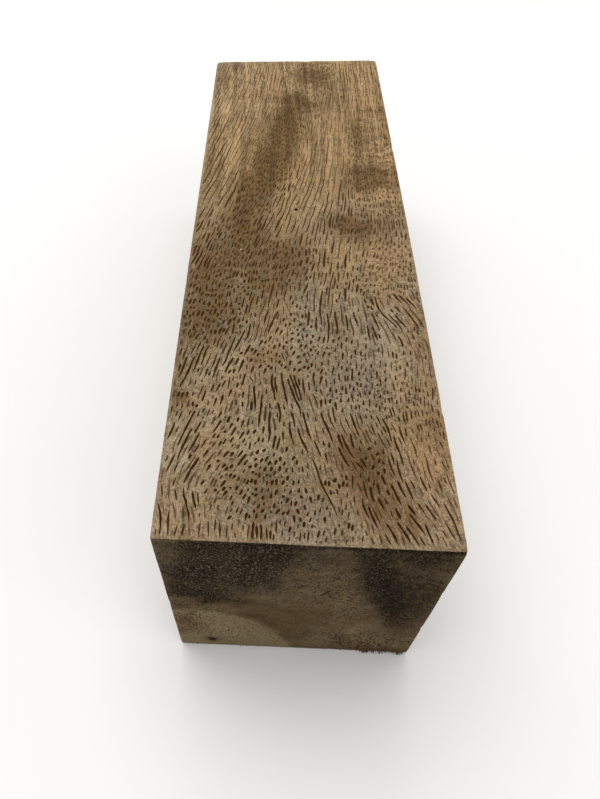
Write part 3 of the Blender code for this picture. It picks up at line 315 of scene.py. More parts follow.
    (13, 75, 31.2, 24.4, 31.1, 23.7), (13, 75, 32.3, 22.6, 32.2, 21.9), (13, 75, 30.6, 21.4, 30.4, 20.7), (13, 75, 29.3, 21.9, 29.2, 21.2), (13, 70, 34.2, 24.4, 34.2, 23.5),
    (14, 75, 35.2, 25.2, 35.3, 24.3), (14, 75, 35.7, 25.0, 35.8, 24.1), (13, 70, 33.1, 24.9, 33.0, 24.2), (13, 70, 36.9, 24.2, 36.9, 23.4), (13, 70, 34.6, 22.4, 34.7, 21.6),
    # lines running up from y 30
    (15, 88, 4, 32.2, 3.75, 31.2, 3.45, 30.2, 3.6, 30, 3.35, 29, 3.1, 28, 2.9, 27.2), (14, 87, 4.85, 32.3, 4.6, 31.6, 4.35, 30.8, 4.3, 30, 4.1, 29.2, 3.9, 28.3), (15, 90, 8.45, 37.0, 8.4, 36.0, 8.2, 35.1), (15, 90, 10.95, 36.9, 10.85, 36.0, 10.75, 35.0, 10.5, 34.2, 10.15, 33.3),
    (14, 90, 10.05, 35.6, 9.85, 34.8, 9.5, 33.9, 9.2, 33.0, 8.95, 32.2, 8.7, 31.5), (14, 87, 8.7, 34.2, 8.5, 33.4, 8.2, 32.4, 7.95, 31.4, 7.7, 30.5, 7.7, 30, 7.4, 29.2, 7.15, 28.4), (13, 80, 8.0, 34.5, 7.8, 33.8),
    (16, 95, 9.9, 31.2, 9.5, 30.6, 9.2, 30.1), (17, 95, 11.0, 32.6, 10.75, 31.9, 10.5, 31.2, 10.25, 30.6), (17, 95, 11.45, 32.0, 11.25, 31.4), (17, 95, 12.0, 31.8, 11.8, 31.2, 11.6, 30.7),
    (17, 95, 12.4, 31.0, 12.15, 30.4), (15, 90, 12.9, 33.8, 12.6, 33.0, 12.35, 32.4), (14, 85, 13.5, 33.7, 13.3, 33.0), (15, 90, 14.2, 34.6, 13.95, 33.8, 13.7, 33.1),
    (16, 95, 15.2, 40.0, 14.9, 39.2, 14.6, 38.5, 14.35, 37.6, 14.1, 36.7, 13.9, 36.0, 13.75, 35.2), (14, 85, 13.65, 40.0, 13.4, 39.2, 13.2, 38.2, 13.1, 37.4), (15, 90, 15.9, 36.0, 15.7, 35.4, 15.45, 34.8),
    (15, 90, 15.3, 36.5, 15.05, 35.8, 14.85, 35.1), (15, 90, 15.6, 33.2, 15.45, 32.4), (15, 90, 16.2, 32.8, 16.05, 31.9), (15, 90, 14.8, 32.8, 14.6, 32.0), (14, 80, 13.9, 31.6, 13.7, 30.9), (14, 80, 15.2, 31.2, 15.0, 30.5),
    (13, 75, 9.8, 38.6, 9.7, 37.7), (14, 85, 9.4, 37.0, 9.3, 36.2), (14, 85, 9.75, 36.8, 9.65, 36.0), (15, 90, 10.35, 37.9, 10.3, 37.2), (13, 80, 9.3, 39.8, 9.2, 39.0), (14, 80, 11.7, 39.6, 11.6, 38.7),
    # dots where the figure turns
    (20, 100, 17.6, 35.45, 17.3, 35.15), (20, 100, 18.45, 35.3, 18.3, 34.8), (20, 100, 18.9, 37.4, 18.6, 37.0), (20, 100, 17.15, 37.5, 17.0, 37.0), (22, 100, 19.3, 36.45, 19.2, 36.0),
    (20, 100, 19.75, 35.1, 19.65, 34.6), (20, 100, 20.65, 35.0, 20.6, 34.5), (18, 100, 20.5, 37.0, 20.4, 36.6), (18, 95, 17.6, 34.4, 17.2, 33.7), (18, 95, 18.5, 34.0, 18.4, 33.4),
    (18, 95, 20.35, 33.8, 20.25, 33.2), (18, 95, 18.9, 33.0, 18.6, 32.4), (18, 95, 19.6, 33.0, 19.3, 32.1), (18, 100, 17.75, 31.6, 17.45, 30.8), (20, 100, 17.4, 32.5, 17.2, 31.9),
    (20, 100, 18.45, 30.7, 18.15, 30.2), (17, 95, 20.3, 32.2, 20.25, 31.6), (20, 100, 17.85, 38.6, 17.75, 37.8), (18, 100, 19.1, 39.4, 19.1, 38.6), (17, 95, 17.3, 39.7, 17.2, 39.1),
    (16, 90, 18.3, 36.2, 18.15, 35.8), (16, 90, 19.3, 31.2, 19.15, 30.6), (16, 85, 16.6, 33.6, 16.5, 32.9), (15, 80, 16.2, 38.6, 16.1, 37.9), (15, 80, 16.5, 37.4, 16.4, 36.7),
    # lines on the grey ground and fanning out to the right edge
    (16, 95, 20.15, 40.0, 20.1, 39.0, 20.0, 38.0, 19.9, 37.2), (14, 90, 19.65, 39.8, 19.65, 38.6), (14, 85, 21.3, 38.8, 21.2, 37.8, 21.2, 36.8, 21.2, 36.0),
    (14, 85, 23, 39.8, 23.1, 38.6, 23.2, 37.6, 23.2, 36.8, 23.1, 36, 23.1, 34.9, 22.95, 34.2, 22.85, 33.5), (15, 90, 24.3, 40.2, 24.3, 39.0, 24.4, 38.0, 24.45, 37.0, 24.5, 36.2, 24.4, 35.4), (14, 85, 26.0, 39.4, 26.1, 38.4, 26.1, 37.4, 26.0, 36.3),
    (14, 85, 27.2, 40.2, 27.4, 39.0, 27.6, 38.2, 27.7, 37.4), (14, 85, 30.1, 40.0, 30.4, 39.2, 30.6, 38.3, 30.85, 37.3, 31.0, 36.4), (13, 80, 30.65, 40.2, 31.0, 39.3), (13, 80, 29.2, 37.2, 29.3, 36.2, 29.3, 35.2, 29.4, 34.3),
    (15, 90, 30.0, 37.0, 30.2, 36.2, 30.4, 35.2, 30.5, 34.3), (14, 85, 30.85, 35.8, 30.95, 34.6), (16, 90, 33.9, 39.7, 34.4, 38.7, 34.9, 37.9, 35.2, 37.3),
    (13, 80, 32.8, 40.0, 33.3, 39.1, 34.0, 38.1, 34.4, 37.2, 34.6, 36.4), (14, 85, 33.9, 35.1, 34.1, 34.4, 34.3, 33.7, 34.3, 33.1), (13, 80, 34.5, 32.8, 34.35, 32.0, 34.2, 31.3),
    (13, 70, 36.0, 35.6, 36.2, 34.6), (13, 70, 36.8, 33.9, 37.0, 32.9), (15, 90, 21.7, 34.8, 21.45, 33.7), (20, 90, 22.4, 34.6, 22.2, 33.6), (17, 95, 23.8, 34.2, 23.65, 33.5),
    (13, 80, 24.7, 34.9, 24.5, 34.1), (14, 85, 25.0, 33.6, 24.95, 32.9, 24.85, 32.2), (14, 85, 25.85, 34.7, 25.7, 33.8), (14, 85, 26.65, 34.2, 26.5, 33.4), (15, 85, 27.0, 32.2, 26.9, 31.2), (14, 85, 28.7, 33.4, 28.6, 32.4),
    (14, 80, 27.85, 31.9, 27.7, 31.0), (14, 85, 21.4, 31.7, 21.2, 31.0), (15, 90, 22.4, 31.7, 22.15, 31.0, 21.95, 30.4), (14, 85, 23.1, 31.5, 22.95, 30.9), (15, 85, 25.05, 31.6, 25.0, 30.8, 24.95, 30.1), (15, 85, 32.6, 31.9, 32.55, 31.2, 32.65, 30.6),
    (14, 85, 33.1, 31.6, 33.1, 30.6), (13, 75, 26.4, 31.2, 26.2, 30.3), (13, 75, 24.0, 32.4, 23.9, 31.6), (13, 70, 30.6, 32.8, 30.5, 31.8), (13, 70, 35.4, 32.2, 35.3, 31.3), (13, 70, 37.6, 31.4, 37.5, 30.5),
    # a dark knot, lines and dots of the next stretch
    (20, 100, 3.95, 43.55, 3.85, 43.15), (20, 100, 4.5, 43.55, 4.4, 43.15), (24, 100, 5.15, 43.8, 4.95, 43.35), (14, 86, 14.45, 46.6, 14.3, 45.4, 14.1, 44.2, 13.9, 43.2, 13.7, 42, 13.75, 41.8, 13.6, 41, 13.4, 40.2), (13, 75, 15.35, 46.8, 15.2, 45.8),
    (15, 85, 12.8, 44.8, 12.65, 43.9, 12.55, 43.0), (14, 85, 12.0, 43.4, 11.85, 42.5, 11.8, 41.6), (16, 95, 14.4, 48.0, 14.35, 47.2), (16, 95, 14.95, 48.0, 14.9, 47.2), (16, 95, 15.8, 48.0, 15.7, 47.2), (16, 95, 11.5, 47.8, 11.4, 47.1),
    (17, 95, 12.1, 48.4, 12.0, 47.6), (15, 90, 13.1, 47.6, 13.1, 46.9), (16, 95, 13.55, 47.8, 13.5, 47.0), (16, 95, 10.35, 45.7, 10.3, 45.1), (16, 95, 9.8, 44.9, 9.7, 44.3), (17, 95, 9.5, 45.8, 9.35, 45.2), (16, 95, 10.35, 44.1, 10.25, 43.6),
    (16, 90, 17.15, 47.8, 17.0, 47.1), (15, 90, 16.65, 46.8, 16.6, 46.1), (18, 95, 18.7, 49.9, 18.5, 48.9, 18.25, 48.2, 18.0, 47.7), (14, 85, 17.85, 47.3, 17.7, 46.6), (14, 85, 20.1, 46.6, 19.85, 45.8, 19.6, 45.0, 19.4, 44.4),
    (14, 85, 19.15, 44.1, 19.0, 43.4), (15, 90, 17.4, 43.8, 17.2, 43.1, 17.1, 42.5), (14, 85, 17.7, 42.6, 17.5, 41.7), (14, 85, 18.3, 41.8, 18.2, 41.0), (14, 85, 19.7, 41.6, 19.6, 40.8), (15, 89, 22.5, 45, 22.3, 44, 22.1, 43, 22, 42, 22, 41.2, 21.9, 40.2, 21.95, 39, 22.1, 38.2, 22.1, 37.5),
    (13, 80, 23.3, 46.0, 23.15, 45.0, 23.0, 44.2), (14, 85, 25.0, 46.6, 24.85, 45.6), (14, 85, 24.6, 43.2, 24.7, 42.4), (15, 85, 26.2, 45.8, 26.2, 44.8, 26.1, 43.8, 26.1, 42.6),
    (13, 80, 21.3, 49.6, 21.2, 48.6, 21.1, 47.6, 21.0, 46.6), (13, 80, 22.1, 49.6, 22.0, 48.6, 21.85, 47.8), (13, 80, 25.4, 49.8, 25.3, 48.8, 25.2, 47.8, 25.1, 47.0), (14, 85, 20.6, 48.8, 20.5, 48.0),
    (15, 90, 28.4, 46.8, 28.3, 46.0, 28.15, 45.4, 28.0, 44.8), (15, 90, 28.9, 45.9, 28.75, 45.2, 28.6, 44.7), (14, 85, 29.35, 45.2, 29.2, 44.6, 29.1, 44.2), (15, 90, 30.6, 47.1, 30.4, 46.5), (16, 95, 31.15, 46.9, 31.0, 46.4), (15, 90, 29.2, 43.2, 29.4, 42.4),
    (15, 90, 29.5, 42.1, 29.75, 41.3), (16, 90, 30.2, 43.6, 30.4, 42.7, 30.6, 41.9), (15, 86, 31, 43.8, 31.05, 42.9, 31.2, 42.1, 31.15, 41.5, 31.45, 40.7, 31.82, 40.05, 32.35, 39.2, 32.8, 38.5, 33.3, 37.9, 33.8, 37.1), (14, 85, 30.15, 41.6, 30.35, 40.8, 30.6, 40.1), (16, 85, 33.2, 44.4, 33.5, 43.6),
    (16, 90, 34.1, 44.7, 34.4, 43.9, 34.8, 43.2, 35.15, 42.6), (15, 85, 35.0, 44.4, 35.4, 43.7, 35.9, 42.9, 36.35, 42.2), (15, 85, 36.1, 43.7, 36.6, 42.9, 37.05, 42.1, 37.4, 41.4), (14, 85, 34.1, 41.8, 34.5, 41.0, 34.9, 40.3), (13, 75, 35.2, 41.8, 35.6, 41, 35.9, 40.4, 36.2, 39.6, 36.7, 38.6, 37, 37.9, 37.2, 37), (14, 85, 33.2, 41.2, 33.6, 40.4),
    (17, 100, 20.6, 56.0, 20.55, 55.2, 20.5, 54.4), (15, 90, 21.3, 55.9, 21.25, 55.0), (15, 90, 21.8, 55.8, 21.75, 55.0, 21.7, 54.2), (14, 90, 12.85, 55.6, 12.7, 54.6, 12.6, 53.5), (14, 85, 13.3, 55.2, 13.15, 54.2), (14, 85, 11.4, 54.7, 11.25, 53.7),
    (15, 90, 14.55, 57.6, 14.45, 57.0, 14.3, 56.4), (15, 90, 15.75, 58.0, 15.65, 57.4), (22, 100, 15.65, 54.8, 15.35, 54.4), (17, 95, 15.75, 52.8, 15.65, 52.2), (22, 100, 6.45, 51.1, 6.25, 50.6), (20, 100, 7.75, 52.8, 7.6, 52.2),
    (18, 95, 9.0, 59.7, 8.9, 59.1), (17, 95, 9.75, 58.9, 9.65, 58.3), (22, 100, 6.5, 58.7, 6.35, 58.2), (16, 90, 7.45, 54.9, 7.25, 54.1), (16, 90, 8.4, 54.2, 8.15, 53.4), (24, 100, 8.35, 56.3, 8.05, 55.7), (15, 90, 5.45, 54.6, 5.35, 54.0), (16, 90, 4.45, 52.8, 4.35, 52.2),
    (20, 100, 32.95, 56.5, 32.75, 55.9), (16, 95, 33.45, 56.7, 33.3, 56.3), (16, 90, 16.55, 56.1, 16.5, 55.3), (15, 90, 17.05, 53.5, 16.95, 52.9), (15, 90, 17.65, 53.4, 17.6, 52.9), (15, 85, 18.3, 56.1, 18.25, 55.3), (15, 90, 19.35, 55.9, 19.3, 55.3),
    (48, 101, 18.4, 67.1, 18.35, 66.8),
    # more of the lines half way along
    (12, 70, .9, 49.8, .55, 49.0, .45, 48.5), (12, 80, 4.55, 49.4, 4.4, 48.5), (15, 80, 2.6, 47.9, 2.5, 47.3), (13, 90, 4.6, 47.1, 4.45, 46.3, 4.4, 45.8),
    (12, 80, 5.0, 46.9, 4.9, 46.1), (13, 80, 6.1, 47.7, 6.0, 47.1), (13, 90, 6.6, 46.5, 6.4, 45.4), (13, 90, 7.7, 46.1, 7.55, 45.3),
    (12, 80, 11.0, 45.9, 10.9, 45.2), (12, 80, 11.5, 46.0, 11.45, 45.1), (13, 90, 12.2, 46.0, 12.1, 45.2), (12, 80, 12.9, 46.4, 12.8, 45.5),
    (14, 100, 10.4, 49.8, 10.3, 48.9), (12, 80, 12.95, 50.0, 12.8, 49.1), (12, 80, 13.5, 49.8, 13.3, 49.0),
    (11, 70, 15.5, 46.8, 15.2, 45.8, 15.0, 44.5, 14.9, 43.2), (11, 70, 16.7, 45.6, 16.45, 44.6, 16.2, 43.6, 16.2, 42.4), (13, 85, 15.35, 42.9, 15.15, 41.8, 15.0, 40.6),
    (12, 80, 17.7, 41.9, 17.3, 41.1), (12, 80, 18.8, 41.5, 18.7, 40.5), (12, 80, 19.65, 40.7, 19.6, 40.0), (11, 60, 17.9, 46.4, 18.0, 45.2),
    (12, 80, 22.7, 49.8, 22.5, 48.9, 22.3, 48.1), (12, 80, 23.35, 49.7, 23.2, 48.5, 22.95, 47.2, 22.7, 46.3), (13, 82, 24.5, 49.8, 24.3, 48.6, 24.1, 47.9, 24, 47.6, 23.85, 46.6, 23.7, 45.8, 23.6, 45, 23.55, 44, 23.4, 43.2, 23.25, 42.4, 23.2, 41.6),
    (11, 70, 24.75, 45.4, 24.65, 44.6), (12, 75, 26.3, 49.8, 26.15, 48.9, 25.95, 48.0), (15, 90, 26.95, 49.8, 26.8, 48.9, 26.7, 48.2), (12, 70, 27.5, 49.6, 27.4, 48.7),
    (11, 70, 25.4, 44.9, 25.2, 44.0, 25.05, 43.1), (11, 70, 27.6, 46.4, 27.4, 45.5, 27.3, 44.8), (12, 70, 28.1, 41.2, 28.0, 40.4),
    (12, 80, 4.4, 31.2, 4.15, 30.2), (12, 75, 5.25, 32.7, 5.1, 31.8), (12, 75, 3.35, 31.1, 3.1, 30.2), (13, 80, .9, 31.8, .8, 31.2, .55, 30.3),
    (12, 80, 13.25, 32.6, 13.0, 31.7), (12, 80, 12.7, 31.4, 12.5, 30.6), (12, 80, 13.2, 31.0, 13.1, 30.4), (12, 80, 14.45, 31.9, 14.3, 31.1),
    (12, 75, 16.45, 39.0, 16.3, 38.9), (12, 85, 15.45, 39.6, 15.2, 39.0, 15.05, 38.3), (14, 95, 19.55, 40.0, 19.6, 39.0), (13, 85, 14.95, 22.2, 15.05, 21.2, 15.12, 20.4), (13, 85, 14.15, 21.8, 14.25, 20.3), (13, 85, 17.95, 31.6, 17.85, 31.0),
    (12, 80, 18.9, 32.0, 18.7, 31.4), (13, 85, 20.45, 31.4, 20.5, 30.8), (12, 80, 21.0, 32.0, 20.9, 31.3), (12, 80, 21.85, 31.0, 21.7, 30.4),
    (12, 75, 36.6, 37.4, 36.5, 36.4), (12, 70, 35.3, 36.9, 35.6, 36.0), (13, 80, 34.3, 39.5, 34.1, 40.3), (12, 70, 36.9, 36.6, 37.0, 35.5),
)
# Where the generated vessels are wanted at full number: elsewhere on the near half
# they only fill in between the ones above.
FULL = (
    (4.5, 39, 5, 6.5, 0, 1.0), (4.5, 45, 5, 4, 0, 1.0), (29, 22.5, 7, 4, 0, .95), (36, 21, 3.5, 5, 0, .9), (29, 28, 6, 3.5, 0, .5),
    (35, 14, 3, 5, 0, .4), (14, 35, 3, 4, 0, .4), (4, 31, 3, 3, 0, .3),
)
# Where the figure ripples across the grain, its shimmer painted as bands of light and shade: the same, with the
# strength of the ripples.
RIPPLE_SHEEN = (
    (34.5, 78, 5, 9, 0, 1.0), (36, 88, 3, 6, 0, .8), (21.5, 117, 4.5, 8, 0, .9), (34, 101, 4.5, 6, 0, .7),
    (13, 110, 4, 6, 0, .6), (19, 104, 4, 5, 0, .5), (34, 52, 5, 7, -30, .5), (29, 64, 5, 5, 0, .4), (24, 125, 10, 3, 0, .5),
)


def measured(x, y):
    """Distance from the near end square to the sides, from the one laid between the skewed ends."""
    near, far = -(x - W / 2) * TAN_NEAR, L + (x - W / 2) * TAN_FAR
    return near + y / L * (far - near)


def laid(x, y):
    near, far = -(x - W / 2) * TAN_NEAR, L + (x - W / 2) * TAN_FAR
    return (y - near) / (far - near) * L


def patches(table, x, y):
    """How strongly the patches of a table cover the points, from 0 to about 1."""
    clear = np.ones(np.shape(x))
    for px, py, rx, ry, lean, much in table:
        t = math.tan(math.radians(lean))
        dx = (x - px - t * (y - py)) / rx
        dy = (y - py) / ry
        clear = clear * (1 - np.clip(much * np.exp(-0.72 * (dx * dx + dy * dy)), 0, .97))
    return 1 - clear


def grain_of_top(x, y):
    """Lean in radians and run in mm at distances x from the left, y from the near end."""
    top = bottom = lean = run = 0.0
    for py, row in GRAIN:
        for px, a, r in row:
            dy = (y - py) / (3.0 if py < 66 else 5.2)
            w = np.exp(-(((x - px) / 2.1) ** 2 + dy * dy)) + 1e-12
            bottom = bottom + w
            lean = lean + w * a
            run = run + w * math.log(r)
    return np.radians(lean / bottom), np.exp(run / bottom)


def grain_of_side(x, y, seed):
    """The same for a long face that shows no mapped figure."""
    lean = 9 * noise(x / 13, y / 36, 0, seed) + 5 * noise(x / 6, y / 17, 0, seed + 1)
    dive = cloud(x / 9.5, y / 24, 0, seed + 2, 2)
    t = step(-.34, .26, dive)
    run = np.exp((1 - t) * math.log(.85) + t * math.log(5.0))
    return np.radians(lean), run


# ------------------------------------------------------------------ the faces
class Face:
    """One of the six faces, laid out flat: a across, b along or up."""

    def __init__(self, name, across, along, place, seed, sides):
        self.name, self.A, self.B, self.place, self.seed = name, across, along, place, seed
        self.sides = sides    # which stations its a sides and its b sides use
        self.end = name in ("near", "far")


FACES = (
    Face("top", W, L, lambda a, b: (a - W / 2, b, 0 * a + H), 11, ("x", "y")),
    Face("bottom", W, L, lambda a, b: (W / 2 - a, b, 0 * a), 22, ("x", "y")),
    Face("right", H, L, lambda a, b: (0 * a + W / 2, b, H - a), 33, ("z", "y")),
    Face("left", H, L, lambda a, b: (0 * a - W / 2, b, a), 44, ("z", "y")),
    Face("near", W, H, lambda a, b: (a - W / 2, 0 * a, b), 55, ("x", "z")),
    Face("far", W, H, lambda a, b: (W / 2 - a, 0 * a + L, b), 66, ("x", "z")),
)
COUNTS = {"x": 62, "y": 118, "z": 54}
SIZES = {"x": W, "y": L, "z": H}
STATIONS = {k: np.linspace(0, SIZES[k], n + 1) for k, n in COUNTS.items()}

# Small knocks in the arrises: point in block space, reach, and how much rounder.
KNOCKS = (
    ((-W / 2, 0, 0), .8, .10), ((W / 2, 0, 0), 1.0, .14), ((W / 2, 0, H), .9, .3), ((-W / 2, 0, H), .7, .2),
    ((W / 2, 21.4, H), .9, .28), ((-W / 2, 47.0, H), .8, .22), ((W / 2, 88, H), 1.3, .3), ((-W / 2, 101, H), 1.0, .3),
    ((-W / 2, L, H), 1.2, .4), ((W / 2, L, H), 1.1, .35), ((-3.2, 0, H), .5, .12), ((9.4, 0, H), .6, .16),
    ((W / 2, 0, 12.5), .8, .3), ((W / 2, 0, 27), .7, .22), ((-W / 2, 0, 19), .8, .2), ((7, 0, 0), 1.4, .1),
    ((14.6, 0, 0), 1.8, .15), ((-W / 2, 30, 0), 1.3, .45), ((W / 2, 64, 0), 1.6, .5), ((-W / 2, 92, 0), 1.2, .4),
    ((W / 2, L, 0), 1.5, .6), ((-W / 2, L, 0), 1.3, .5), ((2, L, H), .9, .3), ((-9, L, 0), 1.4, .4), ((W / 2, L, 22), 1, .35),
)


def edge_radius(x, y, z):
    r = .20 + .07 * noise(x / 2.3, y / 3.1, z / 2.3, 5) + .035 * noise(x / .7, y / .8, z / .7, 6)
    r = r + .08 * (1 - z / H)
    for (px, py, pz), reach, more in KNOCKS:
        d2 = (x - px) ** 2 + (y - py) ** 2 + (z - pz) ** 2
        r = r + more * np.exp(-d2 / reach ** 2)
    return np.clip(r, .1, 1.2)


def solid(x, y, z, proud):
    """From the sharp-edged box to the real one: eased, drifting, ends out of square."""
    r = edge_radius(x, y, z)
    qx, qy, qz = np.clip(x, -W / 2 + r, W / 2 - r), np.clip(y, r, L - r), np.clip(z, r, H - r)
    dx, dy, dz = x - qx, y - qy, z - qz
    n = np.sqrt(dx * dx + dy * dy + dz * dz)
    k = (r + proud) / n
    x, y, z = qx + dx * k, qy + dy * k, qz + dz * k
    t, side, up = y / L, 2 * x / W, z / H
    near, far = -x * TAN_NEAR, L + x * TAN_FAR
    y = near + t * (far - near) - Y_MID
    right = np.sin(math.pi * t) * .9 + .25 * np.sin(5.1 * t + .4)
    left = .45 * np.sin(4.0 * t + 1.1) - .2
    top = .5 * np.sin(3.3 * t + .6) * (.6 + .4 * side)
    x = x + SAW_DRIFT * (right * np.maximum(side, 0) - left * np.maximum(-side, 0)) * (.4 + .6 * up)
    z = z + SAW_DRIFT * top * up
    return x, y, z


def relief(face, a, b):
    """How far the worn surface stands off the flat, before any pore is cut."""
    x, y, z = face.place(a, b)
    out = .008 * noise(x / 1.6, y / 2.4, z / 1.6, 71) + .004 * noise(x / .5, y / .9, z / .5, 72)
    inside = np.minimum(np.minimum(a, face.A - a), np.minimum(b, face.B - b))
    fade = step(.1, 1.2, inside)
    if face.end:
        # cross-cut marks: faint arcs of the blade, and torn end grain between them
        bow = (x + 60) ** 2 / 420 + z
        marks = np.sin(bow * 4.1 + 1.2 * noise(x / 6, 0, z / 6, 74)) * .5 + .5 * noise(0, 0, bow * 1.7, 75)
        rough = .5 + .5 * noise(x / 7, 3, z / 7, 76)
        out = out + fade * (.010 * marks + (.008 + .022 * rough) * noise(x / .55, 0, z / .55, 77))
    elif face.name != "top":
        # rip-cut marks: shallow ridges across the length, uneven in pitch
        lay = b + .06 * (a - face.A / 2) + .35 * noise(a / 9, b / 12, 0, face.seed + 5)
        marks = noise(0, lay / .85, 0, face.seed + 6) * .6 + .4 * np.sin(lay * 2 * math.pi / 1.55)
        out = out + fade * .009 * marks * (.5 + .5 * noise(a / 11, b / 30, 0, face.seed + 7))
    if face.name == "bottom":
        out = np.minimum(out - .02 * step(.0, .5, inside), .012 * (1 - step(.0, .5, inside)))
    return out


# ------------------------------------------------------------------ the pores
CELL = .1                     # mesh of the map that keeps pores apart


class Map:
    def __init__(self, face):
        self.nx, self.ny = int(face.A / CELL) + 2, int(face.B / CELL) + 2
        self.taken = np.zeros((self.nx, self.ny), bool)
        self.discs = {}

    def free(self, a, b):
        return not self.taken[int(a / CELL), int(b / CELL)]

    def stamp(self, a, b, radius):
        n = max(1, int(radius / CELL + .5))
        disc = self.discs.get(n)
        if disc is None:
            g = np.arange(-n, n + 1)
            disc = self.discs[n] = (g[:, None] ** 2 + g[None, :] ** 2) <= n * n
        i, j = int(a / CELL), int(b / CELL)
        i0, i1, j0, j1 = max(i - n, 0), min(i + n + 1, self.nx), max(j - n, 0), min(j + n + 1, self.ny)
        self.taken[i0:i1, j0:j1] |= disc[i0 - i + n:i1 - i + n, j0 - j + n:j1 - j + n]


def walk(points, pitch, seed, more=.0):
    """A given line as evenly spaced points, eased at its bends and a little unsteady."""
    P = np.array(points, float)
    for k, q in ((0, 1), (-1, -2)):
        way = P[k] - P[q]
        P[k] += way * (more / math.hypot(*way))
    s = np.concatenate([[0], np.cumsum(np.sqrt(((P[1:] - P[:-1]) ** 2).sum(1)))])
    at = np.linspace(0, s[-1], max(2, int(s[-1] / pitch)) + 1)
    A, B = (sum(np.interp(np.clip(at + q, 0, s[-1]), s, P[:, k]) for q in (-.25, 0, .25)) / 3 for k in (0, 1))
    B[0], B[-1] = P[0, 1], P[-1, 1]
    A = A + .03 * noise(A / .5, B / .9, 0, seed)
    return list(zip(A.tolist(), B.tolist()))


